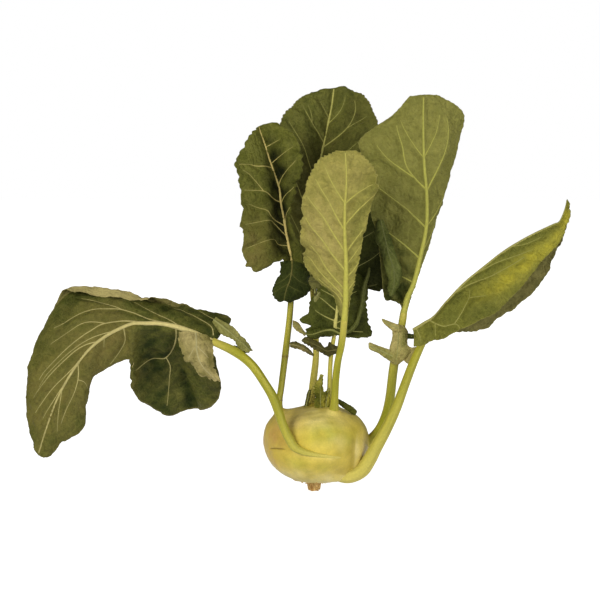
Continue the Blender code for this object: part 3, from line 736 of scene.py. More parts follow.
frontLeaf = {
    "name": "frontLeaf", "node": "front_leaf_blade", "seed": 11, "upper": -1,
    "stalk": [(20, -26, 114), (22, -30, 133)], "ribRadii": (2.5, 2.2, 1.6, 1.15, 0.8, 0.45),
    "ribFade": 0.9,
    "rows": [
        ((23, -33, 147), (12, -30, 153), (27, -35, 150)), ((23, -37, 162), (-7, -27, 171), (31, -38, 167)),
        ((23, -40, 178), (-11, -30, 192), (35, -38, 190)),
        ((22, -44, 198), (-10, -36, 213), (41, -42, 216)),
        ((22, -48, 218), (-6, -43, 235), (47, -46, 237)), ((23, -51, 237), (3, -48, 252), (41, -50, 249)),
        ((22, -54, 258), (15, -53, 258), (30, -54, 258))],
    "belly": ((0.04, 0.06, 0.05), (0.0, 0.0, 0.04)), "ruffle": 1.4, "ruffleLength": 5.0, "ripple": 0.9,
    "teeth": 1.6, "toothSpacing": 3.2, "quilt": 1.0, "swell": 0.9, "crinkle": 0.4,
    "dents": [
        (2.4, -0.9, 0.5, 0.25, -4), (2.7, -0.6, 0.4, 0.2, -2.5), (5.2, 0.8, 0.35, 0.2, -3),
        (4.8, 0.85, 0.3, 0.2, 2), (4.0, -0.6, 0.7, 0.25, 1.5)],
    "bites": [(0, 3.9, 0.13, 2.5), (0, 2.7, 0.14, 3.5), (1, 5.0, 0.14, 2.5)],
    "veins": [
        (1, 3.3, [(3.4, 0.4), (3.5, 0.82)], 0.8), (1, 2.2, [(2.3, 0.6), (2.45, 0.95)], 0.75),
        (1, 5.1, [(5.15, 0.4), (5.0, 0.85)], 0.55), (1, 4.3, [(4.45, 0.5), (4.5, 0.95)], 0.75),
        (1, 1.4, [(1.8, 0.9)], 0.6), (1, 2.8, [(2.9, 0.5), (3.0, 0.9)], 0.5),
        (0, 2.5, [(3.0, 0.26), (3.5, 0.52), (3.9, 0.92)], 0.75), (0, 5.1, [(5.5, 0.35), (5.9, 0.72)], 0.6),
        (0, 1.5, [(2.0, 0.25), (2.5, 0.49), (3.0, 0.74)], 0.7),
        (0, 3.3, [(3.9, 0.28), (4.3, 0.5), (4.6, 0.9)], 0.7),
        (0, 4.1, [(4.5, 0.2), (4.9, 0.42), (5.3, 0.82)], 0.7),
        (0, 0.9, [(1.5, 0.3), (2.1, 0.6), (2.5, 0.9)], 0.6), (0, 0.4, [(1.0, 0.35), (1.7, 0.8)], 0.5)],
    # deep: painted shade on the lower left lobe that curls back and in the notches, with some deeper green
    "deep": [
        (2.3, -0.95, 0.5, 0.3, 0.6), (0.8, -0.95, 0.85, 0.75, 1.0), (1.6, -0.7, 0.2, 0.15, 1.0),
        (5.0, 0.85, 0.6, 0.2, 0.6), (1.2, 0.7, 0.9, 0.5, 0.5), (4.0, 0.55, 2.0, 0.45, 0.36)],
    "glow": [(3.6, -0.5, 1.5, 0.55, 0.9), (1.4, -0.3, 1.1, 0.6, 0.5), (5.9, 0.0, 0.8, 1.0, 0.4)],
    "upperFace": tone(
        (0.058, 0.066, 0.015), (0.105, 0.106, 0.026), (0.17, 0.17, 0.05), (0.18, 0.17, 0.06)),
    "lowerFace": tone(
        (0.225, 0.205, 0.042), (0.285, 0.25, 0.056), (0.34, 0.315, 0.075), (0.33, 0.29, 0.08),
        deep=(0.125, 0.13, 0.024), glow=(0.34, 0.28, 0.082), halo=0.5, net=0.16, mottleScale=90.0,
        patch=(0.27, 0.235, 0.055)),
    "veinColours": ((0.46, 0.43, 0.075), (0.38, 0.33, 0.085)),
}

rightUprightLeaf = {
    "name": "rightUprightLeaf", "node": "right_upright_leaf_blade", "seed": 13, "upper": -1,
    "stalk": [(63, -5, 111), (66, -7, 129)], "ribRadii": (2.9, 2.4, 1.9, 1.4, 1.1, 0.6),
    "rows": [
        ((67, -7.5, 136), (65.3, -7.5, 136.5), (69, -7, 136.5)),
        ((68.5, -8, 142), (62.6, -8, 144), (71.2, -7, 144)),
        ((70, -9, 148), (52.5, -10, 146), (74, -7, 151)),
        ((74.5, -11, 159), (51, -12, 158), (79.5, -7, 167)),
        ((79, -13, 179), (46, -12, 196), (88, -7, 196)), ((83, -15, 201), (38, -8, 224), (97, -6, 224)),
        ((83, -17, 225), (35, -8, 251), (105, -6, 254)), ((81, -18, 247), (34, -10, 266), (111, -8, 279)),
        ((80, -19, 272), (56.5, -14, 282.5), (104, -13, 290.5)),
        ((80, -20, 298), (70, -18, 297), (90, -18, 298))],
    "belly": ((-0.08, -0.05, 0.06), (0.05, 0.05, 0.05)), "ruffle": 1.1, "lobes": 0.35, "teeth": 0.4,
    "quilt": 1.3, "swell": 1.0, "crinkle": 0.3,
    "dents": [
        (3.2, -0.6, 1.0, 0.4, -4), (6.6, -0.5, 0.7, 0.25, 2.5), (5.4, -0.75, 0.5, 0.25, -2.5),
        (8.0, 0.6, 0.8, 0.3, 2)],
    "veins": [
        (0, 7.15, [(7.3, 0.14), (7.6, 0.26), (8.3, 0.38), (8.8, 0.69)], 0.85),
        (0, (7.35, 0.18), [(7.5, 0.42), (7.65, 0.56), (8.0, 0.74)], 0.6),
        (0, 5.95, [(6.1, 0.18), (6.25, 0.38), (6.4, 0.75)], 0.85),
        (0, 4.9, [(5.0, 0.2), (5.1, 0.47), (5.2, 0.88)], 0.8), (0, 8.2, [(8.6, 0.3), (9.0, 0.7)], 0.45),
        (0, 4.0, [(4.2, 0.4), (4.3, 0.85)], 0.6), (1, 7.1, [(7.4, 0.3), (7.8, 0.48), (8.8, 0.64)], 0.8),
        (1, 6.0, [(6.0, 0.45), (6.1, 0.88)], 0.6), (1, 8.2, [(8.6, 0.3), (9.1, 0.5)], 0.45),
        (1, 5.0, [(5.3, 0.45), (5.5, 0.88)], 0.6), (1, 4.1, [(4.5, 0.5), (4.8, 0.88)], 0.5)],
    # deep: painted shade on the lower left, where the front leaf shades it, and along the lower margin
    "deep": [
        (3.2, -0.6, 1.8, 0.8, 1.0), (5.0, -0.85, 0.9, 0.3, 0.5), (4.2, -0.45, 1.3, 0.5, 0.6),
        (3.0, 0.5, 1.4, 0.8, 0.7)],
    "glow": [(8.6, 0.1, 1.2, 0.9, 0.5)],
    "upperFace": tone(
        (0.05, 0.062, 0.011), (0.088, 0.1, 0.019), (0.125, 0.14, 0.032), (0.104, 0.112, 0.028)),
    "lowerFace": tone(
        (0.157, 0.153, 0.032), (0.188, 0.178, 0.039), (0.24, 0.23, 0.052), (0.22, 0.2, 0.055),
        deep=(0.036, 0.044, 0.007), glow=(0.235, 0.22, 0.053), net=0.2, mottleScale=70.0),
    "veinColours": ((0.42, 0.4, 0.07), (0.28, 0.27, 0.06)),
}

rightFoldedLeaf = {
    "name": "rightFoldedLeaf", "node": "right_folded_leaf_blade", "seed": 17,
    "ribRadii": (1.1, 1.1, 1.0, 0.9, 0.7, 0.5),
    "rows": [
        ((73, -25, 125.5), (79, -14, 115.5), (73.3, -27, 113)),
        ((81.3, -21, 130), (87.4, -9, 115.6), (81, -28, 114)),
        ((89.3, -17, 134.5), (95.2, -2, 117.5), (88.6, -29, 117.5)),
        ((98, -14, 144.5), (110, 8, 119.5), (98, -30, 121.5)),
        ((111.5, -12, 158.5), (129, 11, 121.5), (122, -29, 132)),
        ((127.5, -10, 171.5), (146, 12, 133.5), (137, -27, 141)),
        ((143.5, -8, 183.5), (163, 11, 146.5), (151, -22, 154)),
        ((161, -6, 193.5), (176, 9, 165.5), (164, -16, 169)),
        ((178, -4, 201.5), (184.5, 3, 185.5), (182, -10, 189)),
        ((183, -4, 204), (187, 0, 196), (188, -8, 199)), ((187, -3, 213), (190, -1, 209), (191, -6, 209)),
        ((188.5, -3, 220.5), (189.5, -3, 219), (190, -4, 218))],
    "belly": (0.05, 0.06), "ruffle": 1.4, "teeth": 0.6, "quilt": 1.4, "swell": 1.0, "crinkle": 0.3,
    "dents": [(4.4, 0.6, 0.7, 0.25, 1.8), (6.0, 0.5, 0.6, 0.25, -1.5), (3.0, 0.7, 0.6, 0.25, -1.5)],
    "veins": [
        (1, 1.5, [(2.1, 0.36), (2.7, 0.62), (3.3, 0.78), (3.42, 0.97)], 0.85),
        (1, (2.1, 0.36), [(2.1, 0.6), (2.1, 0.85)], 0.5), (1, 0.3, [(0.6, 0.5), (0.7, 0.8)], 0.5),
        (1, (3.3, 0.76), [(3.75, 0.53), (4.0, 0.39), (4.1, 0.25)], 0.5),
        (1, (4.0, 0.42), [(4.3, 0.52), (4.6, 0.6)], 0.4),
        (1, 3.4, [(4.2, 0.13), (5.0, 0.28), (5.7, 0.36), (6.6, 0.45)], 0.65),
        (1, 4.5, [(5.4, 0.11), (6.1, 0.24), (6.9, 0.4)], 0.65), (1, 6.2, [(6.7, 0.14), (7.4, 0.24)], 0.5),
        (0, 2.5, [(3.0, 0.4), (3.4, 0.85)], 0.6), (0, 3.6, [(4.1, 0.4), (4.5, 0.85)], 0.6),
        (0, 4.7, [(5.2, 0.4), (5.6, 0.85)], 0.6), (0, 5.8, [(6.3, 0.4), (6.7, 0.85)], 0.5)],
    "deep": [(2.0, 0.6, 1.2, 0.6, 0.4), (6.6, 0.18, 1.3, 0.14, 0.4), (4.2, 0.85, 1.0, 0.25, 0.5)],
    "glow": [
        (5.0, 0.5, 1.0, 0.18, 0.5), (5.8, 0.58, 0.9, 0.22, 0.85), (6.7, 0.64, 0.8, 0.24, 1.0),
        (9.4, 0.3, 1.1, 1.5, 0.8), (7.7, 0.75, 0.8, 0.3, 0.85)],
    "upperFace": tone(
        (0.115, 0.118, 0.02), (0.172, 0.164, 0.027), (0.23, 0.226, 0.04), (0.23, 0.207, 0.043),
        deep=(0.082, 0.086, 0.014), glow=(0.355, 0.31, 0.03)),
    "lowerFace": tone((0.11, 0.1, 0.027), (0.16, 0.14, 0.04), (0.22, 0.2, 0.06), (0.216, 0.203, 0.05)),
    "veinColours": ((0.34, 0.31, 0.09), (0.25, 0.24, 0.055)),
}

innerLeaf = {
    "name": "innerLeaf", "node": "inner_leaf_blade", "seed": 19, "stalk": [(13.2, 1, 106), (15, 2, 116.5)],
    "ribRadii": (1.5, 2.0, 1.8, 1.2, 0.6), "ribFade": 0.3,
    "rows": [
        ((15.4, 2, 118.5), (13.4, 1, 117.8), (18.7, 1, 118.3)),
        ((15.4, 2, 120.5), (6, -3, 117), (26, 0, 116)),
        ((15.5, 2.5, 122.5), (-3, -4, 119), (34.6, 1, 115.6)),
        ((15.8, 2.5, 125), (-7, -4.5, 123), (43.2, 2, 117)),
        ((16.1, 3, 128.6), (-10.8, -4.5, 130.2), (43.5, 3, 123.4)),
        ((17, 3.5, 134.5), (-6.2, -4, 135.3), (41.6, 4, 132)),
        ((17.8, 4, 142), (-3.6, -3, 143), (39.8, 5, 140.3)),
        ((18.5, 5, 149), (-1.1, -1, 147.8), (40.8, 6, 147)),
        ((19, 6, 154.7), (2.3, 2, 153), (41, 6, 155.6)),
        ((19.4, 7, 160.6), (7.4, 5, 159.1), (36.4, 7, 162.3)),
        ((19.5, 8, 165.6), (14.3, 7, 164.9), (27.9, 8, 165.6))],
    "belly": (0.05, 0.0), "ruffle": 1.2, "ruffleLength": 5.0, "teeth": 1.4, "toothSpacing": 4.0,
    "quilt": 1.2, "dents": [(2.5, -0.6, 0.8, 0.25, 2.0), (5.0, 0.5, 0.8, 0.2, 2.0)],
    "bites": [
        (0, 4.35, 0.26, 7.5), (0, 6.0, 0.3, 1.5), (1, 3.3, 0.2, 1.5), (1, 5.4, 0.15, 1.5),
        (1, 2.4, 0.2, 2.5)],
    "veins": [
        (0, 5.0, [(5.6, 0.35), (6.3, 0.75)], 0.75), (0, 6.2, [(7.0, 0.4), (7.8, 0.75)], 0.65),
        (0, 7.4, [(8.2, 0.45), (8.8, 0.8)], 0.55), (1, 4.6, [(5.4, 0.22)], 0.6),
        (1, 6.2, [(6.7, 0.15)], 0.6), (1, 3.6, [(3.9, 0.4), (4.3, 0.75)], 0.5),
        (1, 7.4, [(8.4, 0.6)], 0.5)],
    "deep": [(5.0, 0.6, 4.0, 0.35, 0.8), (3.0, -0.5, 1.2, 0.6, 0.3)],
    "upperFace": tone(
        (0.035, 0.043, 0.005), (0.069, 0.076, 0.011), (0.114, 0.12, 0.024), (0.079, 0.077, 0.015),
        deep=(0.023, 0.026, 0.004)),
    "lowerFace": tone(
        (0.085, 0.085, 0.022), (0.14, 0.13, 0.036), (0.18, 0.17, 0.05), (0.13, 0.125, 0.036)),
    "veinColours": ((0.56, 0.5, 0.14), (0.22, 0.22, 0.06)),
}

shadedLeaf = {
    "name": "shadedLeaf", "node": "shaded_leaf_blade", "seed": 23,
    "stalk": [(20.7, 14, 117), (23.3, 16, 136)], "ribRadii": (1.6, 1.3, 1.0, 0.5),
    "rows": [
        ((25.5, 17, 153), (18.3, 16, 158), (38, 12, 150.8)),
        ((27.4, 18, 160.4), (16, 16, 170.5), (52, 11, 151)),
        ((30.4, 19, 177), (16.7, 17, 188.6), (54.3, 10, 169.5)),
        ((34.2, 21, 194.4), (20.5, 20, 207.3), (53.6, 12, 189)),
        ((37.3, 24, 208.6), (27.4, 23, 218.5), (49.9, 17, 207.5)),
        ((39.6, 27, 221.3), (35.1, 27, 223.6), (45.6, 25, 218.4))],
    "belly": (0.08, 0.08), "ruffle": 1.4, "ruffleLength": 5.0, "teeth": 1.4, "toothSpacing": 5.0,
    "bites": [(1, 2.4, 0.2, 1.5)],
    "veins": [
        (0, 1.5, [(2.2, 0.5), (2.8, 0.85)], 0.5), (1, 1.2, [(1.6, 0.4), (2.2, 0.8)], 0.5),
        (0, 2.6, [(3.3, 0.5), (3.8, 0.85)], 0.5), (1, 2.4, [(3.0, 0.5), (3.5, 0.85)], 0.5),
        (1, 3.6, [(4.2, 0.6)], 0.4)],
    # upperFace: nearly black, painted shade for the dark gap between the front and the right leaves where it
    # sits
    "upperFace": tone(
        (0.016, 0.02, 0.004), (0.036, 0.041, 0.008), (0.07, 0.075, 0.016), (0.06, 0.06, 0.015)),
    "lowerFace": tone((0.14, 0.13, 0.045), (0.2, 0.18, 0.065), (0.26, 0.25, 0.09), (0.2, 0.19, 0.07)),
    "veinColours": ((0.3, 0.28, 0.1), (0.18, 0.18, 0.06)),
}

leaves = (
    leftDroopingLeaf, leftUprightLeaf, backLeaf, frontLeaf, rightUprightLeaf, rightFoldedLeaf, innerLeaf,
    shadedLeaf,
)


# Small leaflets: the same sheets, without a stalk

leafletHabit = {
    "ribRadii": (0.6, 0.35), "belly": (0.1, 0.1), "ruffle": 0.7, "ruffleLength": 4.0, "ripple": 0.3,
    "teeth": 0.6, "toothSpacing": 3.0, "lobes": 0.5, "quilt": 0.4, "swell": 0.3, "crinkle": 0.15,
    "thickness": 0.5, "veins": [], "cell": 0.6, "slot": "leaf_upper_face",
    "upperFace": innerLeaf["upperFace"], "lowerFace": innerLeaf["lowerFace"],
    "veinColours": ((0.30, 0.29, 0.10), (0.20, 0.20, 0.06)),
}


def leaflet(name, node, seed, rows, face=None, **changes):  # face: colours that both faces share
    faces = {"upperFace": face, "lowerFace": face} if face else {}
    return {**leafletHabit, "name": name, "node": node, "seed": seed, "rows": rows, **faces, **changes}


paleWeb = tone(
    (0.29, 0.24, 0.072), (0.46, 0.38, 0.135), (0.36, 0.33, 0.085), (0.3, 0.24, 0.08),
    deep=(0.2, 0.2, 0.04), netScale=420.0, roughness=0.55,
)
webLook = {"slot": "pale_leaflet", "upperFace": paleWeb, "lowerFace": paleWeb}
frillTone = tone(
    (0.13, 0.135, 0.016), (0.33, 0.29, 0.036), (0.34, 0.32, 0.06), (0.09, 0.065, 0.012),
    deep=(0.075, 0.08, 0.008), mottleScale=170.0,
)
drabFold = tone(
    (0.23, 0.195, 0.065), (0.41, 0.335, 0.13), (0.44, 0.37, 0.15), (0.3, 0.25, 0.09),
    deep=(0.17, 0.15, 0.035), mottleScale=45.0, net=0.15,
)
duskTone = tone(
    (0.036, 0.032, 0.007), (0.08, 0.07, 0.017), (0.1, 0.09, 0.025), (0.05, 0.04, 0.012),
    deep=(0.21, 0.165, 0.055),
)
earTone = tone((0.15, 0.145, 0.035), (0.26, 0.24, 0.07), (0.33, 0.31, 0.1), (0.22, 0.21, 0.06))
rollTone = tone((0.048, 0.056, 0.01), (0.085, 0.092, 0.02), (0.13, 0.135, 0.035), (0.19, 0.19, 0.05))
droopTone = leftDroopingLeaf["upperFace"]
bractTone = tone((0.032, 0.038, 0.004), (0.082, 0.08, 0.009), (0.09, 0.095, 0.014), (0.05, 0.052, 0.008))
freshTone = tone((0.019, 0.026, 0.004), (0.038, 0.047, 0.008), (0.07, 0.08, 0.016), (0.08, 0.08, 0.018))

leaflets = (
    leaflet("leftDroopingLeafFold", "left_drooping_leaf_blade", 31, [
        ((-87, -33, 124), (-75.5, -31, 120.5), (-99.5, -31, 124.5)),
        ((-86.5, -38, 118.5), (-74.5, -34, 114.5), (-99.5, -34, 118)),
        ((-86, -41, 112.5), (-74, -37, 107.5), (-98, -37, 111)),
        ((-84.5, -42, 106), (-73, -38, 101.5), (-95, -38, 104.5)),
        ((-81, -40, 99), (-72, -37, 96), (-90.5, -37, 99.5)),
        ((-76, -37, 93.5), (-70, -35, 91), (-83.5, -35, 93)),
        ((-71, -35, 89), (-69, -34, 87.5), (-74, -34, 88.5))],
        slot="pale_leaflet", upper=-1, lowerFace=drabFold, upperFace=droopTone, teeth=0.5, ruffle=1.6,
        belly=(0.14, 0.16), swell=1.0, crinkle=0.35, quilt=0.5,
        dents=[(2.2, 0.45, 0.5, 0.3, -2.2), (3.2, -0.4, 0.5, 0.3, 1.5)],
        deep=[
            (0.6, -0.6, 1.2, 0.5, 0.7), (3.0, -0.7, 1.4, 0.3, 0.8), (4.6, 0.5, 0.8, 0.5, 0.7),
            (1.6, 0.9, 0.8, 0.2, 0.6)],
        veins=[(0, 1.5, [(2.6, 0.6)], 0.4), (1, 1.5, [(2.8, 0.6)], 0.4)],
        bites=[(1, 2.5, 0.15, 1.5), (0, 3.6, 0.2, 1.5)],
        veinColours=((0.42, 0.37, 0.17), (0.38, 0.32, 0.14))),
    leaflet("leftDroopingLeafEar", "left_drooping_leaf_ear", 32, [
        ((-74, -31, 133.5), (-72.5, -29, 135.5), (-75, -31, 132)),
        ((-69, -33, 130), (-65.5, -30, 131.5), (-72, -32, 126.5)),
        ((-64, -33, 126), (-61, -30, 129), (-67.5, -32, 122)),
        ((-59.5, -32, 122), (-56.5, -30, 125), (-62.5, -32, 120)),
        ((-56, -32, 118.5), (-54, -30, 121), (-58.5, -32, 117)),
        ((-52, -33, 115.5), (-51, -31, 119.5), (-55.5, -33, 112.5)),
        ((-49, -33, 112.5), (-46.5, -31, 113), (-51.5, -33, 110)),
        ((-47, -33, 110.5), (-45, -32, 111), (-48, -33, 109.5))],
        slot="pale_leaflet", upperFace=earTone, lowerFace=drabFold, belly=(-0.15, -0.1), swell=0.6,
        crinkle=0.3, veins=[(0, 1.0, [(1.8, 0.6)], 0.3), (1, 1.6, [(2.4, 0.6)], 0.3)]),
    leaflet("leftDroopingLeafEarUnderside", "left_drooping_leaf_ear", 33, [
        ((-59.5, -31, 114), (-59, -31, 114.5), (-60, -31, 113.5)),
        ((-55.5, -31, 112), (-54.5, -31, 113.5), (-56, -31, 111)),
        ((-51.5, -31, 110), (-50, -31, 111.5), (-52.5, -31, 109)),
        ((-48, -31, 109), (-47.5, -31, 109.5), (-48.5, -31, 109))],
        slot="pale_leaflet", face=freshTone, ruffle=0.2, teeth=0.2),
    leaflet("leftUprightLeafLobe", "left_upright_leaf_lobe", 34, [
        ((-16.5, 5, 174), (-7.5, 6, 171), (-25.5, 6, 173)),
        ((-16.5, 3, 167.5), (-3.5, 6, 165), (-25.5, 6, 165.5)),
        ((-18, 3, 159.5), (-2, 7, 158.5), (-29.5, 9, 157.5)),
        ((-20.5, 4, 153), (-3, 8, 151), (-31.5, 10, 151)),
        ((-22, 5, 147), (-9, 8, 145.5), (-30.5, 10, 145.5)),
        ((-22.5, 7, 143.5), (-17, 8, 142.5), (-26.5, 9, 142.5))],
        upperFace=freshTone, ribRadii=(0.8, 0.5, 0.3), teeth=0.9, belly=(0.08, 0.1),
        bites=[(1, 1.3, 0.2, 1.5), (0, 4.4, 0.2, 1.2)], quilt=0.5, swell=0.9, crinkle=0.3, cell=0.8,
        veins=[
            (1, 1.2, [(1.9, 0.4), (2.3, 0.8)], 0.3), (0, 1.4, [(2.0, 0.4), (2.4, 0.8)], 0.3),
            (1, 2.4, [(3.0, 0.5), (3.3, 0.8)], 0.25), (0, 2.6, [(3.2, 0.6)], 0.25)],
        veinColours=((0.16, 0.14, 0.035), (0.07, 0.075, 0.016))),
    leaflet("leftStalkLeaflet", "left_stalk_leaflet", 35, [
        ((-16, 14, 125), (-16, 14, 128), (-16, 14, 123)),
        ((-12, 13, 123), (-11, 13, 126), (-13, 13, 120)), ((-9, 12, 120), (-8, 12, 121), (-10, 12, 118)),
        ((-6, 12, 117), (-5, 12, 117), (-7, 12, 116))],
        **webLook, ruffle=0.4),
    leaflet("innerStalkLeaflet", "inner_stalk_leaflet", 36, [
        ((17.5, -6, 108), (17.5, -6, 105.5), (17.5, -6, 110.5)),
        ((12.5, -8, 107.5), (11.5, -8, 103), (13, -8, 113)),
        ((9, -9, 107.5), (8.5, -9, 104), (8.5, -9, 110.5)),
        ((4, -9, 110.5), (3.5, -9, 106.5), (5, -9, 113.5)),
        ((-1.5, -8, 113), (-2.5, -8, 110), (-0.5, -8, 116)),
        ((-7, -7, 115), (-8, -7, 113), (-5.5, -7, 118)),
        ((-9, -7, 115.5), (-9.5, -7, 115), (-9, -7, 116))],
        teeth=0.8, ruffle=1.6, ruffleLength=3.0, belly=(0.2, 0.1), cell=0.7, upperFace=duskTone,
        bites=[(1, 1.2, 0.3, -1.5), (1, 2.4, 0.3, 1.0)], veins=[(1, 0.6, [(1.0, 0.7)], 0.3)],
        veinColours=((0.15, 0.13, 0.04), (0.08, 0.075, 0.02))),
    leaflet("innerStalkLeafletTail", "inner_stalk_leaflet", 47, [
        ((-18, -10, 112.5), (-18, -10, 110.5), (-18, -10, 114)),
        ((-14, -10, 112), (-14, -10, 109), (-14, -10, 115)),
        ((-10, -10, 110.5), (-11, -9, 108), (-9.5, -9, 113)),
        ((-6, -9, 108.5), (-7, -9, 106), (-5.5, -9, 110.5)),
        ((-2.5, -8, 106), (-3, -8, 104), (-2, -8, 107)),
        ((-0.5, -8, 103.5), (-0.5, -8, 103), (0, -8, 104))],
        upper=-1, teeth=0.6, ruffle=0.8, belly=(0.15, 0.1), cell=0.7, face=duskTone,
        deep=[(2.6, -0.4, 1.6, 0.7, 0.9)], veinColours=((0.22, 0.19, 0.07), (0.12, 0.11, 0.03))),
    leaflet("innerLeafLobe", "inner_leaf_blade", 48, [
        ((19, 0, 119.5), (18.5, 0, 118), (19, 0, 120.5)),
        ((13.5, -3, 122.5), (11.5, -1, 119), (14.5, -1, 123.5)),
        ((6.5, -5, 122), (6.5, -3, 118), (6.5, -4, 124.5)), ((0, -7, 120), (2, -5, 115.5), (-1, -6, 124)),
        ((-4.5, -7, 119.5), (-3, -6, 116.5), (-5.5, -7, 122)),
        ((-6, -7, 120.5), (-5.5, -7, 119), (-6, -7, 121.5))],
        teeth=0.6, ruffle=0.8, belly=(0.15, 0.12), cell=0.7, ribRadii=(0.9, 0.7, 0.3),
        veinColours=((0.24, 0.24, 0.06), (0.1, 0.105, 0.025))),
    leaflet("innerLeafRoll", "inner_leaf_blade", 49, [
        ((41.5, 1, 169), (42.2, 1, 168.5), (41, 1, 169)),
        ((40.5, 0, 164), (41.7, 1, 163.5), (39.5, 1, 164)),
        ((38.2, -1, 157), (39.7, 0, 156.5), (37, 0, 157.5)),
        ((36.7, -1, 150.5), (38.5, 0, 150), (35.5, 0, 150.5)),
        ((36, -1, 142.5), (37.6, 0, 142), (34.7, 0, 142.5)),
        ((34.5, -1, 135), (36, 0, 134.5), (33.3, 0, 135.5)),
        ((32, -2, 128), (33.3, -1, 127), (31, -1, 128.5)),
        ((29, -2, 123.5), (30, -1, 122), (28, -1, 125)),
        ((24.5, -2, 120.5), (24.7, -1, 119), (24, -1, 121)),
        ((22, -1, 119.5), (22, -1, 119), (22, -1, 120.5))],
        teeth=0.2, ruffle=0.2, lobes=0.2, belly=(0.3, 0.3), cell=0.5, upperFace=rollTone,
        ribRadii=(0.25, 0.3, 0.25), veinColours=((0.13, 0.135, 0.035), (0.1, 0.1, 0.03))),
    leaflet("innerLeafTip", "inner_leaf_blade", 50, [
        ((4, -12, 152), (5, -12, 151.5), (2.5, -12, 152.5)),
        ((2, -12, 149), (4, -11, 148), (0, -11, 149.5)),
        ((0.5, -12, 146.5), (2, -11, 145.5), (-0.5, -11, 147)),
        ((0.5, -12, 144.5), (1, -12, 144.5), (0, -12, 145))],
        upperFace=earTone, teeth=0.3, ruffle=0.4),
    leaflet("innerLeafCurlTip", "inner_leaf_blade", 51, [
        ((0.5, -19, 156.5), (2, -19, 156), (-1, -19, 156.5)),
        ((0.5, -20, 152.5), (2, -19, 152.5), (-0.5, -19, 153)),
        ((1, -19, 149), (1.5, -19, 149), (0.5, -19, 149))],
        upperFace=duskTone, teeth=0.3, ruffle=0.3),
    leaflet("rightStalkWing", "right_stalk_wing", 37, [
        ((61, -9, 97.5), (58, -9, 98.5), (64, -9, 97.5)),
        ((61.5, -11, 101), (56.5, -10, 101), (67, -12, 100.5)),
        ((62, -12, 106), (56.3, -10, 105), (72, -14, 106)),
        ((62.3, -12, 109.5), (56.5, -10, 109), (71.6, -13, 110)),
        ((62.6, -12.5, 114), (57.3, -10, 113.5), (69.6, -11, 113)),
        ((62.8, -13, 118), (57.7, -11, 118), (70, -11, 117.5)),
        ((63, -13, 121.5), (58, -11, 121.5), (70, -11, 121)),
        ((63, -12.5, 125), (58.1, -11, 124), (68.6, -11, 124.5)),
        ((63, -11, 127), (61, -11, 127.5), (66.7, -11, 127))],
        **webLook, belly=(0.2, 0.12), swell=0.5, crinkle=0.1, teeth=0.2, ribRadii=(0.5, 0.4), ruffle=0.5,
        cell=0.6, veins=[(1, 1.6, [(3.0, 0.3), (5.0, 0.35)], 0.3)],
        deep=[(4.5, 0.6, 3.0, 0.35, 0.7), (1.5, -0.3, 1.2, 0.6, 0.5)]),
    leaflet("rightStalkUpperLeaflet", "right_stalk_upper_leaflet", 38, [
        ((63.3, -14, 125), (63.3, -14, 122), (63.3, -13, 128)),
        ((59, -15, 126.5), (57.5, -14, 123.5), (61, -14, 128.5)),
        ((54.5, -16, 129), (53.5, -15, 126.8), (55.7, -15, 130.3)),
        ((51.7, -17, 131), (51, -17, 129.7), (52, -17, 132)),
        ((50.2, -18, 132.2), (50.2, -18, 131.8), (50.3, -18, 132.5))],
        **webLook, ruffle=0.3, teeth=0.2, ribRadii=(0.4, 0.3)),
    leaflet("rightStalkLowerLeaflet", "right_stalk_lower_leaflet", 39, [
        ((59.5, -12, 103.5), (58, -11, 99), (57, -12, 108.5)),
        ((51.5, -14, 107.5), (50.5, -13, 104.5), (52, -13, 110.5)),
        ((45.3, -16, 110.5), (45.3, -15, 107.5), (45.3, -15, 113)),
        ((41.6, -17, 112), (41.4, -16, 109.5), (41.6, -16, 114.4)),
        ((40.4, -17, 112.4), (40.6, -17, 110.8), (40.4, -17, 114))],
        **webLook, ruffle=0.4, teeth=0.2, ribRadii=(0.5, 0.4), deep=[(1.0, -0.2, 2.0, 1.2, 0.8)]),
    leaflet("rightStalkBridge", "right_stalk_bridge", 40, [
        ((68, -13, 105.5), (67, -13, 100.5), (70, -13, 111.5)),
        ((72.5, -15, 104.5), (70, -15, 98), (73.5, -15, 111)),
        ((76.5, -17, 105), (73, -17, 96.5), (78, -17, 112))],
        **webLook, ruffle=0.5, swell=0.4, teeth=0.2, ribRadii=(0.3, 0.3)),
    leaflet("rightFoldedLeafTab", "right_folded_leaf_blade", 52, [
        ((69.5, -10, 118.5), (69.5, -10, 116.5), (69.5, -10, 121)),
        ((71.5, -13, 119), (71.5, -13, 117), (71.5, -13, 121)),
        ((74.5, -16, 119.5), (74.5, -16, 117.5), (74.5, -16, 121))],
        face=freshTone, ruffle=0.2, teeth=0.2, ribRadii=(0.3, 0.3)),
    leaflet("crownRightBract", "crown_right_bract", 41, [
        ((15.5, -13, 71), (15.5, -13, 69), (15.5, -13, 73)),
        ((20, -11.5, 68.8), (19, -11.5, 67), (21, -11, 70.4)),
        ((25.3, -10.5, 65), (24, -10.5, 63), (26.5, -10, 66.8)),
        ((31.6, -10, 60), (30.2, -10, 58.8), (32.4, -9.5, 62))],
        thickness=0.9, teeth=0.3, ruffle=0.3, face=bractTone),
    leaflet("crownLeftBract", "crown_left_bract", 42, [
        ((-6.5, 3, 61.5), (-8, 3, 61.5), (-5, 3, 61.5)), ((-4.6, 4, 69), (-6.2, 5, 68.5), (-3, 5, 69.5)),
        ((-3, 5, 75.5), (-3.8, 6, 76), (-2, 6, 76))],
        thickness=0.9, teeth=0.3, ruffle=0.3,
        upperFace=tone((0.09, 0.09, 0.012), (0.15, 0.145, 0.025), (0.2, 0.19, 0.05), (0.12, 0.09, 0.03))),
    leaflet("rightUprightLeafRoll", "right_upright_leaf_blade", 46, [
        ((49, -14, 206), (51, -13, 206), (47, -12, 206)),
        ((52, -16, 194), (55, -14, 197), (44.5, -12, 197)),
        ((55, -17.5, 181), (61, -14, 182), (49, -13, 182)),
        ((59, -17.5, 169), (65, -14, 167), (53, -14, 166)),
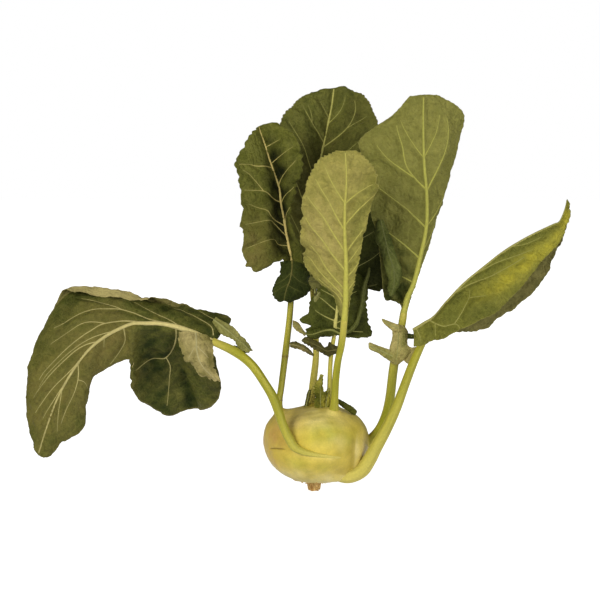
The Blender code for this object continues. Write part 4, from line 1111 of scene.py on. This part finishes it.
        ((59, -16, 157), (63, -14, 158), (55, -14, 154)),
        ((57, -14, 149), (59, -13, 150), (56, -13, 149))],
        teeth=0.8, ruffle=0.8, lobes=0.8, cell=0.7, quilt=0.8, swell=0.8, crinkle=0.3,
        ribRadii=(0.4, 0.45, 0.3), veinColours=((0.13, 0.14, 0.04), (0.1, 0.11, 0.03)),
        upperFace=tone((0.04, 0.052, 0.009), (0.1, 0.112, 0.024), (0.15, 0.16, 0.04), (0.26, 0.26, 0.08)),
        veins=[
            (1, 1.4, [(2.2, 0.6)], 0.35), (0, 1.6, [(2.3, 0.6)], 0.35), (1, 2.6, [(3.3, 0.6)], 0.35),
            (0, 3.0, [(3.6, 0.6)], 0.35)]),
    leaflet("crownSmallFrill", "crown_frill", 44, [
        ((9, -7, 64), (7, -6, 64), (11, -8, 64)), ((9.5, -7, 70), (6.5, -6, 70), (12.5, -8, 71)),
        ((10.5, -6, 75), (8, -5, 75), (12.5, -7, 75)), ((11, -6, 79), (10, -5, 79), (12, -6, 79))],
        teeth=1.4, toothSpacing=2.0, ruffle=1.8, ruffleLength=1.6, ripple=0.7, cell=0.5,
        bites=[(0, 1.5, 0.2, 1.5), (1, 1.2, 0.2, 1.5)], face=frillTone),
    leaflet("innerLeafCurl", "inner_leaf_blade", 45, [
        ((-4.5, -20, 161), (-4, -18, 159), (-4, -18, 163)),
        ((-1, -23, 162), (-1, -20, 155.5), (-1, -21, 165)),
        ((3.5, -24, 162), (2.5, -21, 155), (4, -22, 166)),
        ((7, -24, 162), (6, -21, 156.5), (7, -22, 166)),
        ((9, -22, 161.5), (8.5, -21, 159), (9, -21, 164))],
        teeth=0.5, ruffle=1.0, belly=(0.25, 0.25), cell=0.6, upperFace=duskTone, ribRadii=(0.2, 0.2),
        veinColours=((0.17, 0.15, 0.045), (0.1, 0.09, 0.025)), deep=[(3.2, -0.2, 0.7, 1.4, 0.8)]),
    leaflet("crownFrill", "crown_frill", 43, [
        ((5, -6, 64), (0.5, -5, 62), (8, -7, 65)), ((5, -6, 73), (-0.3, -4, 72.5), (9, -8, 74)),
        ((5, -5, 82), (0.8, -4, 82), (7.5, -7, 82)), ((6, -4, 89), (5, -4, 89.5), (7.5, -4, 88.5))],
        teeth=2.0, toothSpacing=2.4, ruffle=2.2, ruffleLength=1.6, ripple=0.8, cell=0.5,
        bites=[(1, 2.1, 0.25, 2.5), (0, 2.5, 0.15, 1.5), (1, 1.4, 0.12, 2.0)], ribRadii=(0.35, 0.3),
        deep=[(0.9, -0.3, 0.9, 0.7, 1.0), (1.6, 0.3, 0.4, 0.4, 0.8)], face=frillTone),
)


# Leaf stalks: a round, faintly ribbed tube with a groove, which spreads where it meets the bulb

stalkShape = {
    "sides": 36, "ringStep": 1.3 * mm,
    "ribs": 0.022, "fineRibs": 0.014, "groove": 0.10, "uneven": 0.03, "scar": 0.07,  # shares of the radius
}
stalkFinish = {
    "shade": (0.27, 0.258, 0.014), "light": (0.42, 0.372, 0.034), "patch": (0.49, 0.42, 0.07),
    "green": (0.215, 0.235, 0.012), "wan": (0.52, 0.44, 0.085), "pale": (0.64, 0.53, 0.12),
    "brown": (0.16, 0.095, 0.022), "smoothest": 0.36, "roughest": 0.48, "specular": 0.25, "relief": 0.3,
    "reliefDepth": 0.3,
}
stalkHabit = {  # what every stalk has, unless its own dictionary says otherwise
    "green": 0.25, "wan": 0.0,  # how green, and how washed out
    "pale": (10, 0.9),  # pale foot: length in millimetres, strength
    "rings": (), "edge": 0,  # scars round it, as places along the path, and how brown one side is
    "merge": (0, 1),  # swelling of the bulb beside it: height and reach in millimetres
}

# path and radii in millimetres; foot: how many times wider it starts, and over how many millimetres
stalks = (
    {"name": "leftDroopingLeafStalk", "node": "left_drooping_leaf_stalk", "seed": 51,
     "path": [
         (24, -29.5, 31), (16, -35.2, 31.8), (8, -38, 33), (0, -39, 34.4), (-8, -39.2, 36.4),
         (-14.5, -38.6, 39.8), (-18.8, -37.9, 46.5), (-23.2, -36.4, 56), (-29.4, -35, 74),
         (-36, -35.5, 86), (-46, -36, 100.5), (-58.5, -34.5, 110.2), (-75, -32, 117.5)],
     "radii": (0.9, 1.3, 1.7, 2.0, 2.6, 3.3, 3.5, 3.4, 3.7, 3.5, 3.4, 3.5, 2.8), "foot": (1.0, 9),
     "pale": (38, 1.0)},
    {"name": "leftUprightLeafStalk", "node": "left_upright_leaf_stalk", "seed": 52,
     "path": [
         (-23, 4, 50), (-26.3, 9, 64), (-24.6, 11, 79), (-21.5, 13, 104), (-18.3, 15, 132),
         (-17, 16, 154), (-17, 17, 169)],
     "radii": (3.0, 2.6, 2.5, 2.6, 2.4, 2.3, 2.1), "foot": (1.6, 6), "rings": (2.85, 1.25), "edge": 0.9},
    {"name": "backLeafStalk", "node": "back_leaf_stalk", "seed": 53,
     "path": [(-2.5, 8, 54), (-2.2, 10, 64), (-1, 14, 77), (1.6, 21, 100), (1, 28, 125), (-1, 34, 148)],
     "radii": (3.1, 2.9, 2.8, 2.5, 2.3, 2.1), "foot": (1.9, 8), "wan": 0.7},
    {"name": "frontLeafStalk", "node": "front_leaf_stalk", "seed": 54,
     "path": [
         (13, -9, 53), (14.6, -14, 62), (15.2, -17, 73), (16, -20, 88), (17.6, -23, 102),
         (20.3, -26, 115), (22, -30, 133)],
     "radii": (4.2, 3.6, 3.0, 2.8, 2.7, 2.65, 2.6), "foot": (2.3, 8)},
    {"name": "rightUprightLeafStalk", "node": "right_upright_leaf_stalk", "seed": 55,
     "path": [
         (33, 3, 33), (40.5, 3, 36), (48.6, 2, 45), (53.8, 1, 56), (57, -1, 70), (59.4, -3, 92),
         (62.3, -5, 111), (65.5, -7, 127), (67, -7.5, 136)],
     "radii": (4.4, 3.9, 3.7, 3.7, 3.7, 3.6, 3.2, 3.0, 2.7), "foot": (1.8, 9), "green": 0.5,
     "merge": (0.8, 3.0)},
    {"name": "rightFoldedLeafStalk", "node": "right_folded_leaf_stalk", "seed": 56,
     "path": [
         (2, -8, 20), (15, -15, 16.3), (25.5, -19, 14.8), (35, -21.5, 19.2), (41.2, -22, 28),
         (46, -22, 37), (53.6, -22, 51), (61, -21.5, 67), (67.3, -21, 84), (73, -20, 99),
         (79.5, -19, 113.5), (84, -17.5, 121)],
     "radii": (4.6, 5.3, 5.7, 5.6, 5.3, 4.8, 4.3, 3.9, 3.6, 3.4, 2.9, 2.0), "foot": (1.0, 22),
     "pale": (70, 1.0), "merge": (2.6, 6.0)},
    {"name": "innerLeafStalk", "node": "inner_leaf_stalk", "seed": 57,
     "path": [
         (11.5, -3, 54), (11.8, -2, 65), (11.7, -1, 80), (12.2, 0, 95), (13.2, 1, 106), (15, 2, 116.5)],
     "radii": (2.6, 2.1, 1.9, 1.75, 1.7, 1.6), "foot": (1.8, 6), "wan": 0.5},
    {"name": "shadedLeafStalk", "node": "shaded_leaf_stalk", "seed": 58,
     "path": [
         (15.5, 5, 54), (15.2, 7, 64), (16.3, 10, 85), (18.4, 12, 101), (20.7, 14, 117),
         (23.3, 16, 136)],
     "radii": (2.2, 1.8, 1.7, 1.7, 1.7, 1.6), "foot": (1.4, 5)},
)


def stalkMaterial():
    look = stalkFinish
    material, tree, shader = newMaterial("leafStalkSkin", look["specular"])
    grain = attribute(tree, "grain", "Vector")
    place = objectPlace(tree)
    streak = remap(tree, noiseAt(tree, grain, 420.0, 4.0, 0.6), 0.35, 0.68)
    colour = mixColour(tree, streak, look["shade"], look["light"])
    patch = remap(tree, noiseAt(tree, grain, 90.0, 2.0), 0.5, 0.7, 0.0, 0.55)
    colour = mixColour(tree, patch, colour, look["patch"])
    green = calculate(tree, "MULTIPLY", attribute(tree, "green"), 0.6)
    colour = mixColour(tree, green, colour, look["green"])
    for key in ("wan", "pale", "brown"):
        colour = mixColour(tree, attribute(tree, key), colour, look[key])
    colour = vary(tree, colour, place, 700.0, 0.06)
    tree.links.new(colour, shader.inputs["Base Color"])
    rough = remap(tree, streak, 0.0, 1.0, look["roughest"], look["smoothest"])
    tree.links.new(rough, shader.inputs["Roughness"])
    addBump(tree, shader, noiseAt(tree, grain, 900.0, 3.0), look["relief"], look["reliefDepth"])
    return material


def makeStalk(changes, material):
    stalk = {**stalkHabit, **changes}
    seed = stalk["seed"]
    sides = stalkShape["sides"]
    path = np.array(stalk["path"], float) * mm + origin
    last = len(path) - 1
    length = np.linalg.norm(np.diff(path, axis=0), axis=1).sum()
    rings = int(length / stalkShape["ringStep"])
    places = np.linspace(0, last, rings)
    centre = curveAt(path, places)
    direction = unit(np.gradient(centre, axis=0))
    gone = np.concatenate([[0], np.cumsum(np.linalg.norm(np.diff(centre, axis=0), axis=1))])
    sideways = unit(np.cross(direction, np.array([0.0, -1.0, 0.05])))
    front = np.cross(sideways, direction)

    radius = np.interp(places, np.linspace(0, last, len(stalk["radii"])), stalk["radii"]) * mm
    spread, footLength = stalk["foot"]
    flare = 1 + (spread - 1) * np.exp(-((gone / (footLength * mm)) ** 1.6))
    angle = np.linspace(0, 2 * math.pi, sides, endpoint=False)
    right, ahead = np.cos(angle), np.sin(angle)
    ribs = 1 + stalkShape["ribs"] * np.sin(7 * angle + seed) + stalkShape["fineRibs"] * np.sin(13 * angle)
    twist = 1 + stalkShape["uneven"] * wobble(gone / (18 * mm), seed)
    size = radius[:, None] * ribs[None, :] * twist[:, None]
    size *= 1 - stalkShape["groove"] * hump(np.abs(angle - math.pi), 0.0, 0.4)[None, :]
    for ring in stalk["rings"]:
        size *= 1 + stalkShape["scar"] * hump(places, ring, 0.035)[:, None]
    wide = right[None, :] * size * flare[:, None]
    deep = ahead[None, :] * size * (1 + 0.35 * (flare[:, None] - 1))
    points = centre[:, None, :] + sideways[:, None, :] * wide[..., None] + front[:, None, :] * deep[..., None]
    streaks = np.repeat(gone[:, None], sides, 1) * 0.07 + seed  # streaks run along the stalk
    grain = np.stack([right[None, :] * radius[:, None], ahead[None, :] * radius[:, None], streaks], -1)

    brown = sum((hump(places, ring, 0.03)[:, None] for ring in stalk["rings"]), np.zeros((rings, 1)))
    brown = brown + stalk["edge"] * ramp(right, 0.72, 1.0)[None, :] * ramp(places, 0.3, 1.5)[:, None]
    reach, most = stalk["pale"]
    pale = (most * np.exp(-((gone / (reach * mm)) ** 1.5)))[:, None]
    wan = np.maximum(stalk["wan"], 0.8 * ramp(places, last - 1.3, last))[:, None]
    ones = np.ones((rings, sides))
    values = {"brown": np.clip(brown * ones, 0, 0.85), "pale": pale * ones, "wan": wan * ones,
              "green": stalk["green"] * ones}
    piece = meshPiece(stalk["name"], points, tubeFaces(rings, sides), [material], None, values, grain)
    outward(piece)
    dress(piece, stalk["node"])
    print(stalk["name"], "made")


# The bulb: a turned shape, then swollen and creased where the leaves grow out of it
# Places on it are degrees round from the front and millimetres high

bulb = {
    "radius": 39.3, "widest": 38.0, "topRise": 25.5, "topPower": 2.6, "bottomDrop": 32.3, "flat": 8.6,
    "crownSwell": 2.4,
    # seams: places along them; the swelling on their right-hand side and how far it fades; the depth,
    # half width and darkness of the groove, a brown scar in the thin seams and painted shade in the broad
    # crease beside the right flange; how far the cream tint reaches from them, cream skin on the flange and
    # partly a painted highlight on the ridge at the left stalk's foot
    "seams": [
        ([(-27, 40), (-20, 37.5), (-10, 36), (5, 34.5), (18, 32.5), (32, 31.5)],
         1.1, 9, 0.5, 2.5, 0.0, 2.2),
        ([(-62, 35), (-48, 36.5), (-33, 37)], 0.3, 5, 0.5, 0.6, 0.8, 0),
        ([(8, 18), (24, 18.6), (41, 18), (49, 20.5), (48.5, 27), (47.5, 33), (48, 40), (50.5, 46), (58, 52)],
         1.2, 26, 0.4, 5.0, 0.34, 20),
        ([(110, 30), (130, 28), (155, 29), (178, 32)], 1.2, 8, 0.5, 2.0, 0.1, 2),
        ([(-170, 45), (-145, 42), (-120, 41), (-98, 43)], 1.1, 7, 0.5, 2.0, 0.1, 2),
        ([(-155, 22), (-125, 20), (-92, 23)], 1.1, 7, 0.5, 2.0, 0.1, 2)],
    # place, half widths in degrees and in millimetres, then height in millimetres or strength
    "dents": [(62, 48, 14, 9, 0.8), (-60, 24, 20, 8, 0.7), (20, 44, 14, 9, 0.8)],
    "peach": [
        (-52, 50, 22, 13, 1.0), (-85, 34, 30, 18, 0.7), (-30, 57, 14, 5, 0.7), (-60, 24, 16, 7, 0.5),
        (150, 48, 30, 10, 0.6)],
    "green": [
        (12, 52, 22, 9, 0.9), (35, 46, 16, 8, 0.5), (-22, 27, 10, 5, 0.6), (10, 24, 9, 4, 0.5),
        (100, 55, 25, 8, 0.7), (200, 50, 30, 10, 0.6)],
    # pale tint: paler skin low on the front and on the right flange, and painted light across the top of the
    # bulb (the broad entry 60 mm high)
    "cream": [
        (20, 14, 26, 5, 0.8), (-35, 17, 30, 6, 0.5), (28, 43, 9, 7, 0.35), (70, 34, 24, 14, 0.5),
        (-5, 60, 70, 8, 0.7)],
}
bulbFinish = {
    "shade": (0.52, 0.395, 0.042), "light": (0.63, 0.485, 0.072), "green": (0.43, 0.415, 0.045),
    "peach": (0.52, 0.32, 0.070), "cream": (0.78, 0.64, 0.21), "streak": (0.40, 0.36, 0.06),
    "speck": (0.33, 0.24, 0.05), "brown": (0.17, 0.11, 0.02), "smoothest": 0.32, "roughest": 0.44,
    "specular": 0.32, "relief": 0.22, "reliefDepth": 0.4,
}


def bulbOutline(count):  # radius and height from the flat underside up to the crown, in metres
    down = math.sqrt(1 - ((bulb["widest"] - bulb["flat"]) / bulb["bottomDrop"]) ** 2)
    lowest = math.acos(min(1, down))
    lower = np.linspace(-lowest, 0, count // 2, endpoint=False)
    upper = np.linspace(0, math.pi / 2, count - count // 2)
    power = 2 / bulb["topPower"]
    radius = np.concatenate([np.cos(lower), np.cos(upper) ** power]) * bulb["radius"]
    height = np.concatenate([bulb["widest"] + bulb["bottomDrop"] * np.sin(lower),
                             bulb["widest"] + bulb["topRise"] * np.sin(upper) ** power])
    return radius * mm, height * mm


def seamDistance(around, height, line):  # mm to the right of a seam, and a fade towards its ends
    points = np.array([(math.radians(a) * bulb["radius"], z) for a, z in line])
    steps = 70
    dense = curveAt(points, np.linspace(0, len(points) - 1, steps))
    tangent = unit(np.gradient(dense, axis=0))
    apart = np.stack([around, height], -1)[..., None, :] - dense
    nearest = np.argmin((apart ** 2).sum(-1), axis=-1)
    gap = np.take_along_axis(apart, nearest[..., None, None], axis=-2)[..., 0, :]
    heading = tangent[nearest]
    side = np.sign(heading[..., 1] * gap[..., 0] - heading[..., 0] * gap[..., 1])
    along = nearest / (steps - 1)
    return side * np.linalg.norm(gap, axis=-1), ramp(along, 0.0, 0.22) * (1 - ramp(along, 0.72, 1.0))


def stretchedPlace(tree, place, share):  # draws a pattern out in height
    return addNode(tree, "ShaderNodeMapping", None, {"Vector": place, "Scale": (1.0, 1.0, share)}).outputs[0]


def bulbMaterial():
    look = bulbFinish
    material, tree, shader = newMaterial("bulbSkin", look["specular"])
    place = objectPlace(tree)
    stretched = stretchedPlace(tree, place, 0.22)
    mottle = remap(tree, noiseAt(tree, place, 42.0, 4.0), 0.36, 0.66)
    colour = mixColour(tree, mottle, look["shade"], look["light"])
    # the pale tint is cream skin in places, and painted light on the top of the bulb and along the left ridge
    for key in ("green", "peach", "cream"):
        colour = mixColour(tree, attribute(tree, key), colour, look[key])
    streak = remap(tree, noiseAt(tree, stretched, 260.0, 3.0), 0.52, 0.75, 0.0, 0.30)
    colour = mixColour(tree, streak, colour, look["streak"])
    colour = vary(tree, colour, place, 160.0, 0.07)
    colour = vary(tree, colour, place, 900.0, 0.05)
    dots = addNode(tree, "ShaderNodeTexVoronoi", None, {"Vector": place, "Scale": 300.0})
    speck = remap(tree, dots.outputs["Distance"], 0.03, 0.12, 0.22, 0.0)
    colour = mixColour(tree, speck, colour, look["speck"])
    # brown: scar lines and a brown spot, with painted shade in the broad crease by the right flange
    colour = mixColour(tree, attribute(tree, "brown"), colour, look["brown"])
    tree.links.new(colour, shader.inputs["Base Color"])
    rough = remap(tree, noiseAt(tree, place, 120.0), 0.3, 0.7, look["smoothest"], look["roughest"])
    tree.links.new(rough, shader.inputs["Roughness"])
    height = calculate(tree, "ADD", noiseAt(tree, stretched, 300.0, 3.0), noiseAt(tree, place, 700.0, 2.0))
    addBump(tree, shader, height, look["relief"], look["reliefDepth"])
    return material


def bulbGround(columns, levels):  # the turned shape: points, normals, and each point's degrees and height
    radius, height = bulbOutline(levels)
    radius[-1] = 0
    turn = np.linspace(-math.pi, math.pi, columns, endpoint=False)
    around = np.stack([np.sin(turn), -np.cos(turn), turn * 0], -1)
    points = around[None, :, :] * radius[:, None, None]
    points[..., 2] = height[:, None]
    normals = unit(np.cross(np.gradient(points, axis=1), np.gradient(points, axis=0)))
    normals[-1] = (0, 0, 1)
    normals[0] = (0, 0, -1)
    degrees = np.degrees(turn)[None, :] * np.ones((levels, 1))
    high = (height / mm)[:, None] * np.ones((1, columns))
    return points, normals, degrees, high


# brown is scar lines, with painted shade in the broad crease; cream is pale skin, with a painted highlight
# along the left ridge
def creaseSeams(lift, degrees, high):  # raises and creases the skin; returns how brown and cream it gets
    brown = np.zeros_like(lift)
    cream = np.zeros_like(lift)
    for line, swell, fall, groove, width, scarAndPaintedShade, tint in bulb["seams"]:
        right, fade = seamDistance(np.radians(degrees) * bulb["radius"], high, line)
        lift += fade * swell * ramp(right, -width / 2, width) * np.exp(-np.maximum(right, 0) / fall)
        lift -= fade * groove * hump(right, -width / 2, width)
        brown = np.maximum(brown, scarAndPaintedShade * fade * hump(right, -width / 3, width * 0.8))
        if tint:
            paleSkinAndHighlight = 0.9 * fade * ramp(right, -0.3, 1.0) * np.exp(-np.maximum(right, 0) / tint)
            cream = np.maximum(cream, paleSkinAndHighlight)
    return brown, cream


def bulbTints(points, degrees, high, cream):
    values = {}
    for key in ("peach", "green", "cream"):
        level = np.zeros_like(high)
        for place, middle, halfTurn, halfHigh, amount in bulb[key]:
            gap = (degrees - place + 180) % 360 - 180
            level = np.maximum(level, amount * hump(gap, 0, halfTurn) * hump(high, middle, halfHigh))
        if key == "cream":
            level = np.maximum(level, cream)
        values[key] = np.clip(level * (1 + 0.35 * lumps(points, 13 * mm, len(key))), 0, 1)
    return values


def swellAtStalks(lift, points, high):  # the crown rises round each stalk, and the side where one leans on it
    crown = ramp(high, 46, 56)
    for changes in stalks:
        stalk = {**stalkHabit, **changes}
        path = np.array(stalk["path"][:4], float) * mm + origin
        dense = curveAt(path, np.linspace(0, 3, 60))
        gap = np.min(np.linalg.norm(points[:, :, None, :] - dense[None, None, :, :], axis=-1), axis=2)
        thick = stalk["radii"][0] * mm
        lift += bulb["crownSwell"] * np.exp(-np.maximum(gap - thick, 0) / (2.2 * mm)) * crown
        rise, fall = stalk["merge"]
        lift += rise * np.exp(-(np.maximum(gap - thick, 0) / (fall * mm)) ** 1.4) * (1 - crown)


def makeBulb():
    columns, levels = ((320, 170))
    points, normals, degrees, high = bulbGround(columns, levels)
    lift = 0.45 * lumps(points, 45 * mm, 4) + 0.16 * lumps(points, 14 * mm, 5)
    lift += 0.05 * lumps(points, 5 * mm, 6)
    brown, cream = creaseSeams(lift, degrees, high)
    for place, middle, halfTurn, halfHigh, depth in bulb["dents"]:
        lift += depth * hump(degrees, place, halfTurn) * hump(high, middle, halfHigh)
    values = bulbTints(points, degrees, high, cream)
    points = points + origin + np.array((bulbAxis + 0.4 * mm, 0, 0))
    swellAtStalks(lift, points, high)
    edgeFade = ramp(high, bulb["flat"], bulb["flat"] + 6)
    points = points + normals * (lift * mm * (0.25 + 0.75 * edgeFade))[..., None]
    spot = np.hypot((degrees + 27) * 0.69, high - 38.0)  # one brown spot where two seams meet
    values["brown"] = np.maximum(np.clip(brown, 0, 1), 0.9 * hump(spot, 0, 1.1))
    faces = gridFaces(levels, columns, wrap=True).tolist()
    faces.append(list(range(columns)))
    piece = meshPiece("kohlrabiBulb", points, faces, [bulbMaterial()], None, values)
    outward(piece, weld=0.01 * mm)
    dress(piece, "bulb")
    print("bulb made")


# The root stub: a woody core inside torn strands, with shreds of dry skin above it

root = {"top": 10.5, "topRadius": 5.7, "footRadius": 4.3, "strands": 46, "shreds": 16,
        "strandTaper": (1, 1, 1.05, 1, 1, 0.95, 0.9, 0.7, 0.35),
        "shredTaper": (0.25, 0.7, 1, 1, 0.9, 0.7, 0.3)}
rootFinish = {"shade": (0.36, 0.18, 0.045), "light": (0.74, 0.50, 0.18), "roughness": 0.85, "specular": 0.2,
              "relief": 0.6, "reliefDepth": 0.6}
rootMiddle = origin[:2] + np.array((bulbAxis, 0)) + np.array((-1.0, -1.0)) * mm


def woodMaterial():
    look = rootFinish
    material, tree, shader = newMaterial("rootWood", look["specular"])
    place = objectPlace(tree)
    stretched = stretchedPlace(tree, place, 0.3)
    fibres = remap(tree, noiseAt(tree, stretched, 420.0, 4.0), 0.32, 0.68)
    colour = vary(tree, mixColour(tree, fibres, look["shade"], look["light"]), place, 900.0, 0.15)
    tree.links.new(colour, shader.inputs["Base Color"])
    shader.inputs["Roughness"].default_value = look["roughness"]
    addBump(tree, shader, noiseAt(tree, stretched, 800.0, 4.0), look["relief"], look["reliefDepth"])
    return material


def rootRadius(level):  # wider towards the bulb
    return root["footRadius"] + (root["topRadius"] - root["footRadius"]) * level ** 1.5


def rootPoint(reach, turn, height):  # a place this far from the root's middle
    across = rootMiddle[0] + reach * mm * np.cos(turn)
    back = rootMiddle[1] + reach * mm * np.sin(turn)
    return np.stack(np.broadcast_arrays(across, back, cadLow[2] + height * mm), -1)


def makeRootCore(wood):
    rings, sides = 14, 40
    level = np.linspace(0, 1, rings)[:, None]
    angle = np.linspace(0, 2 * math.pi, sides, endpoint=False)
    radius = rootRadius(level) * 0.93
    rough = 1 + 0.07 * np.sin(9 * angle + 1) + 0.05 * np.sin(17 * angle)
    points = rootPoint(radius * rough, angle, level * root["top"])
    points[0, :, 2] += 0.5 * mm * (1 + np.sin(5 * angle + 2)) / 2
    core = meshPiece("rootStubCore", points, tubeFaces(rings, sides), [wood])
    outward(core)
    dress(core, "root_stub")


def rootStrands(rng):
    lines = []
    taper = np.array(root["strandTaper"])
    for index in range(root["strands"]):
        turn = 2 * math.pi * (index + rng.uniform(-0.3, 0.3)) / root["strands"]
        bottom = rng.uniform(0.25, 3.4)
        heights = np.linspace(root["top"] + 0.5, bottom, len(taper))
        reach = rootRadius(heights / root["top"]) + rng.uniform(-0.1, 0.35)
        sway = turn + 0.05 * np.sin(np.linspace(0, 5, len(taper)) + index)
        thick = rng.uniform(0.35, 0.6) * mm
        lines.append((rootPoint(reach, sway, heights), thick * taper, taper * 0))
    return lines


def rootShreds(rng):  # they lie under the bulb and hang a little from its skin
    lines = []
    taper = np.array(root["shredTaper"])
    count = len(taper)
    for index in range(root["shreds"]):
        turn = 2 * math.pi * index / root["shreds"] + rng.uniform(-0.2, 0.2)
        reach = np.linspace(rng.uniform(7, 13), rng.uniform(12, 18), count)
        curve = np.sqrt(np.clip(1 - (reach / bulb["radius"]) ** 2, 0, 1))
        drop = bulb["widest"] - bulb["bottomDrop"] * curve + 0.6
        drop = np.maximum(drop, bulb["flat"]) - np.linspace(rng.uniform(1.0, 2.6), 0.2, count)
        sway = turn + rng.uniform(-0.25, 0.25) * np.linspace(-1, 1, count)
        lines.append((rootPoint(reach, sway, drop), rng.uniform(0.4, 0.8) * mm * taper, taper * 0))
    return lines


def makeRoot():
    wood = woodMaterial()
    makeRootCore(wood)
    rng = np.random.default_rng(71)
    lines = rootStrands(rng) + rootShreds(rng)
    dress(sweepTubes("rootStubStrands", lines, wood, sides=6), "root_stub")
    print("root stub made")


# Studio: white all round, one soft key light from the front left, a weak one from the right

studio = {
    "below": 0.75, "above": 0.12,  # brightness of the room under and over the plant
    "tilt": 6.0, "distance": 1.5, "aim": (-10.5, 0.0, 144.75), "lens": 120.0, "sensor": 36.0,
    "lights": [("keyLight", (-1.35, -1.40, 1.05), 0.9, 28.5, False),  # place and size in metres, power, shine
               ("rightLight", (1.2, -1.45, 0.5), 1.1, 17.0, True),
               ("frontLight", (0.1, -2.0, 0.08), 1.0, 5.0, True),
               ("backLight", (0.5, 1.9, 1.1), 0.8, 8.0, False)],
    "floor": 0.5, "floorGlow": 0.96, "floorReach": 4,
}


def makeRoom():  # white to the eye, brighter from below, as if the table threw light up
    world = bpy.data.worlds.new("whiteRoom")
    bpy.context.scene.world = world
    world.use_nodes = True
    tree = world.node_tree
    background = tree.nodes["Background"]
    background.inputs["Color"].default_value = (1, 1, 1, 1)
    path = addNode(tree, "ShaderNodeLightPath")
    direction = addNode(tree, "ShaderNodeTexCoord").outputs["Generated"]
    across = addNode(tree, "ShaderNodeSeparateXYZ", None, {0: direction})
    room = remap(tree, across.outputs["Z"], -0.35, 0.25, studio["below"], studio["above"])
    inputs = {0: path.outputs["Is Camera Ray"], 3: room, 4: 1.0}
    strength = addNode(tree, "ShaderNodeMapRange", None, inputs)
    tree.links.new(strength.outputs[0], background.inputs["Strength"])


def makeCamera(target):
    tilt = math.radians(studio["tilt"])
    camera = addObject("camera", bpy.data.cameras.new("camera"))
    camera.data.lens = studio["lens"]
    camera.data.sensor_width = studio["sensor"]
    away = Vector((0, -math.cos(tilt), math.sin(tilt))) * studio["distance"]
    camera.location = target + away
    camera.rotation_euler = (-away).to_track_quat("-Z", "Y").to_euler()
    bpy.context.scene.camera = camera


def makeLights(target):
    for name, place, size, power, shine in studio["lights"]:
        lamp = bpy.data.lights.new(name, "AREA")
        lamp.size = size
        lamp.energy = power
        light = addObject(name, lamp)
        light.location = place
        light.visible_glossy = shine
        light.rotation_euler = (target - light.location).to_track_quat("-Z", "Y").to_euler()


def makeFloor():
    material, tree, shader = newMaterial("paleFloor", 0.0)
    shader.inputs["Base Color"].default_value = (studio["floor"],) * 3 + (1,)
    shader.inputs["Roughness"].default_value = 0.9
    shader.inputs["Emission Color"].default_value = (1, 1, 1, 1)
    shader.inputs["Emission Strength"].default_value = studio["floorGlow"]
    reach = studio["floorReach"]
    corners = [(x * reach, y * reach, cadLow[2]) for x, y in ((-1, -1), (1, -1), (1, 1), (-1, 1))]
    floor = meshPiece("floor", corners, [(0, 1, 2, 3)], [material])
    floor.visible_diffuse = False  # the white floor doesn't throw its light up into the leaves
    floor.visible_glossy = False


def makeStudio():
    bpy.context.scene.view_settings.view_transform = "Standard"
    target = Vector(origin) + Vector(studio["aim"]) * mm
    makeRoom()
    makeCamera(target)
    makeLights(target)
    makeFloor()
    print("studio set")


makeStudio()
for leaf in leaves + leaflets:
    makeBlade(leaf)
stalkSkin = stalkMaterial()
for stalk in stalks:
    makeStalk(stalk, stalkSkin)
makeBulb()
makeRoot()
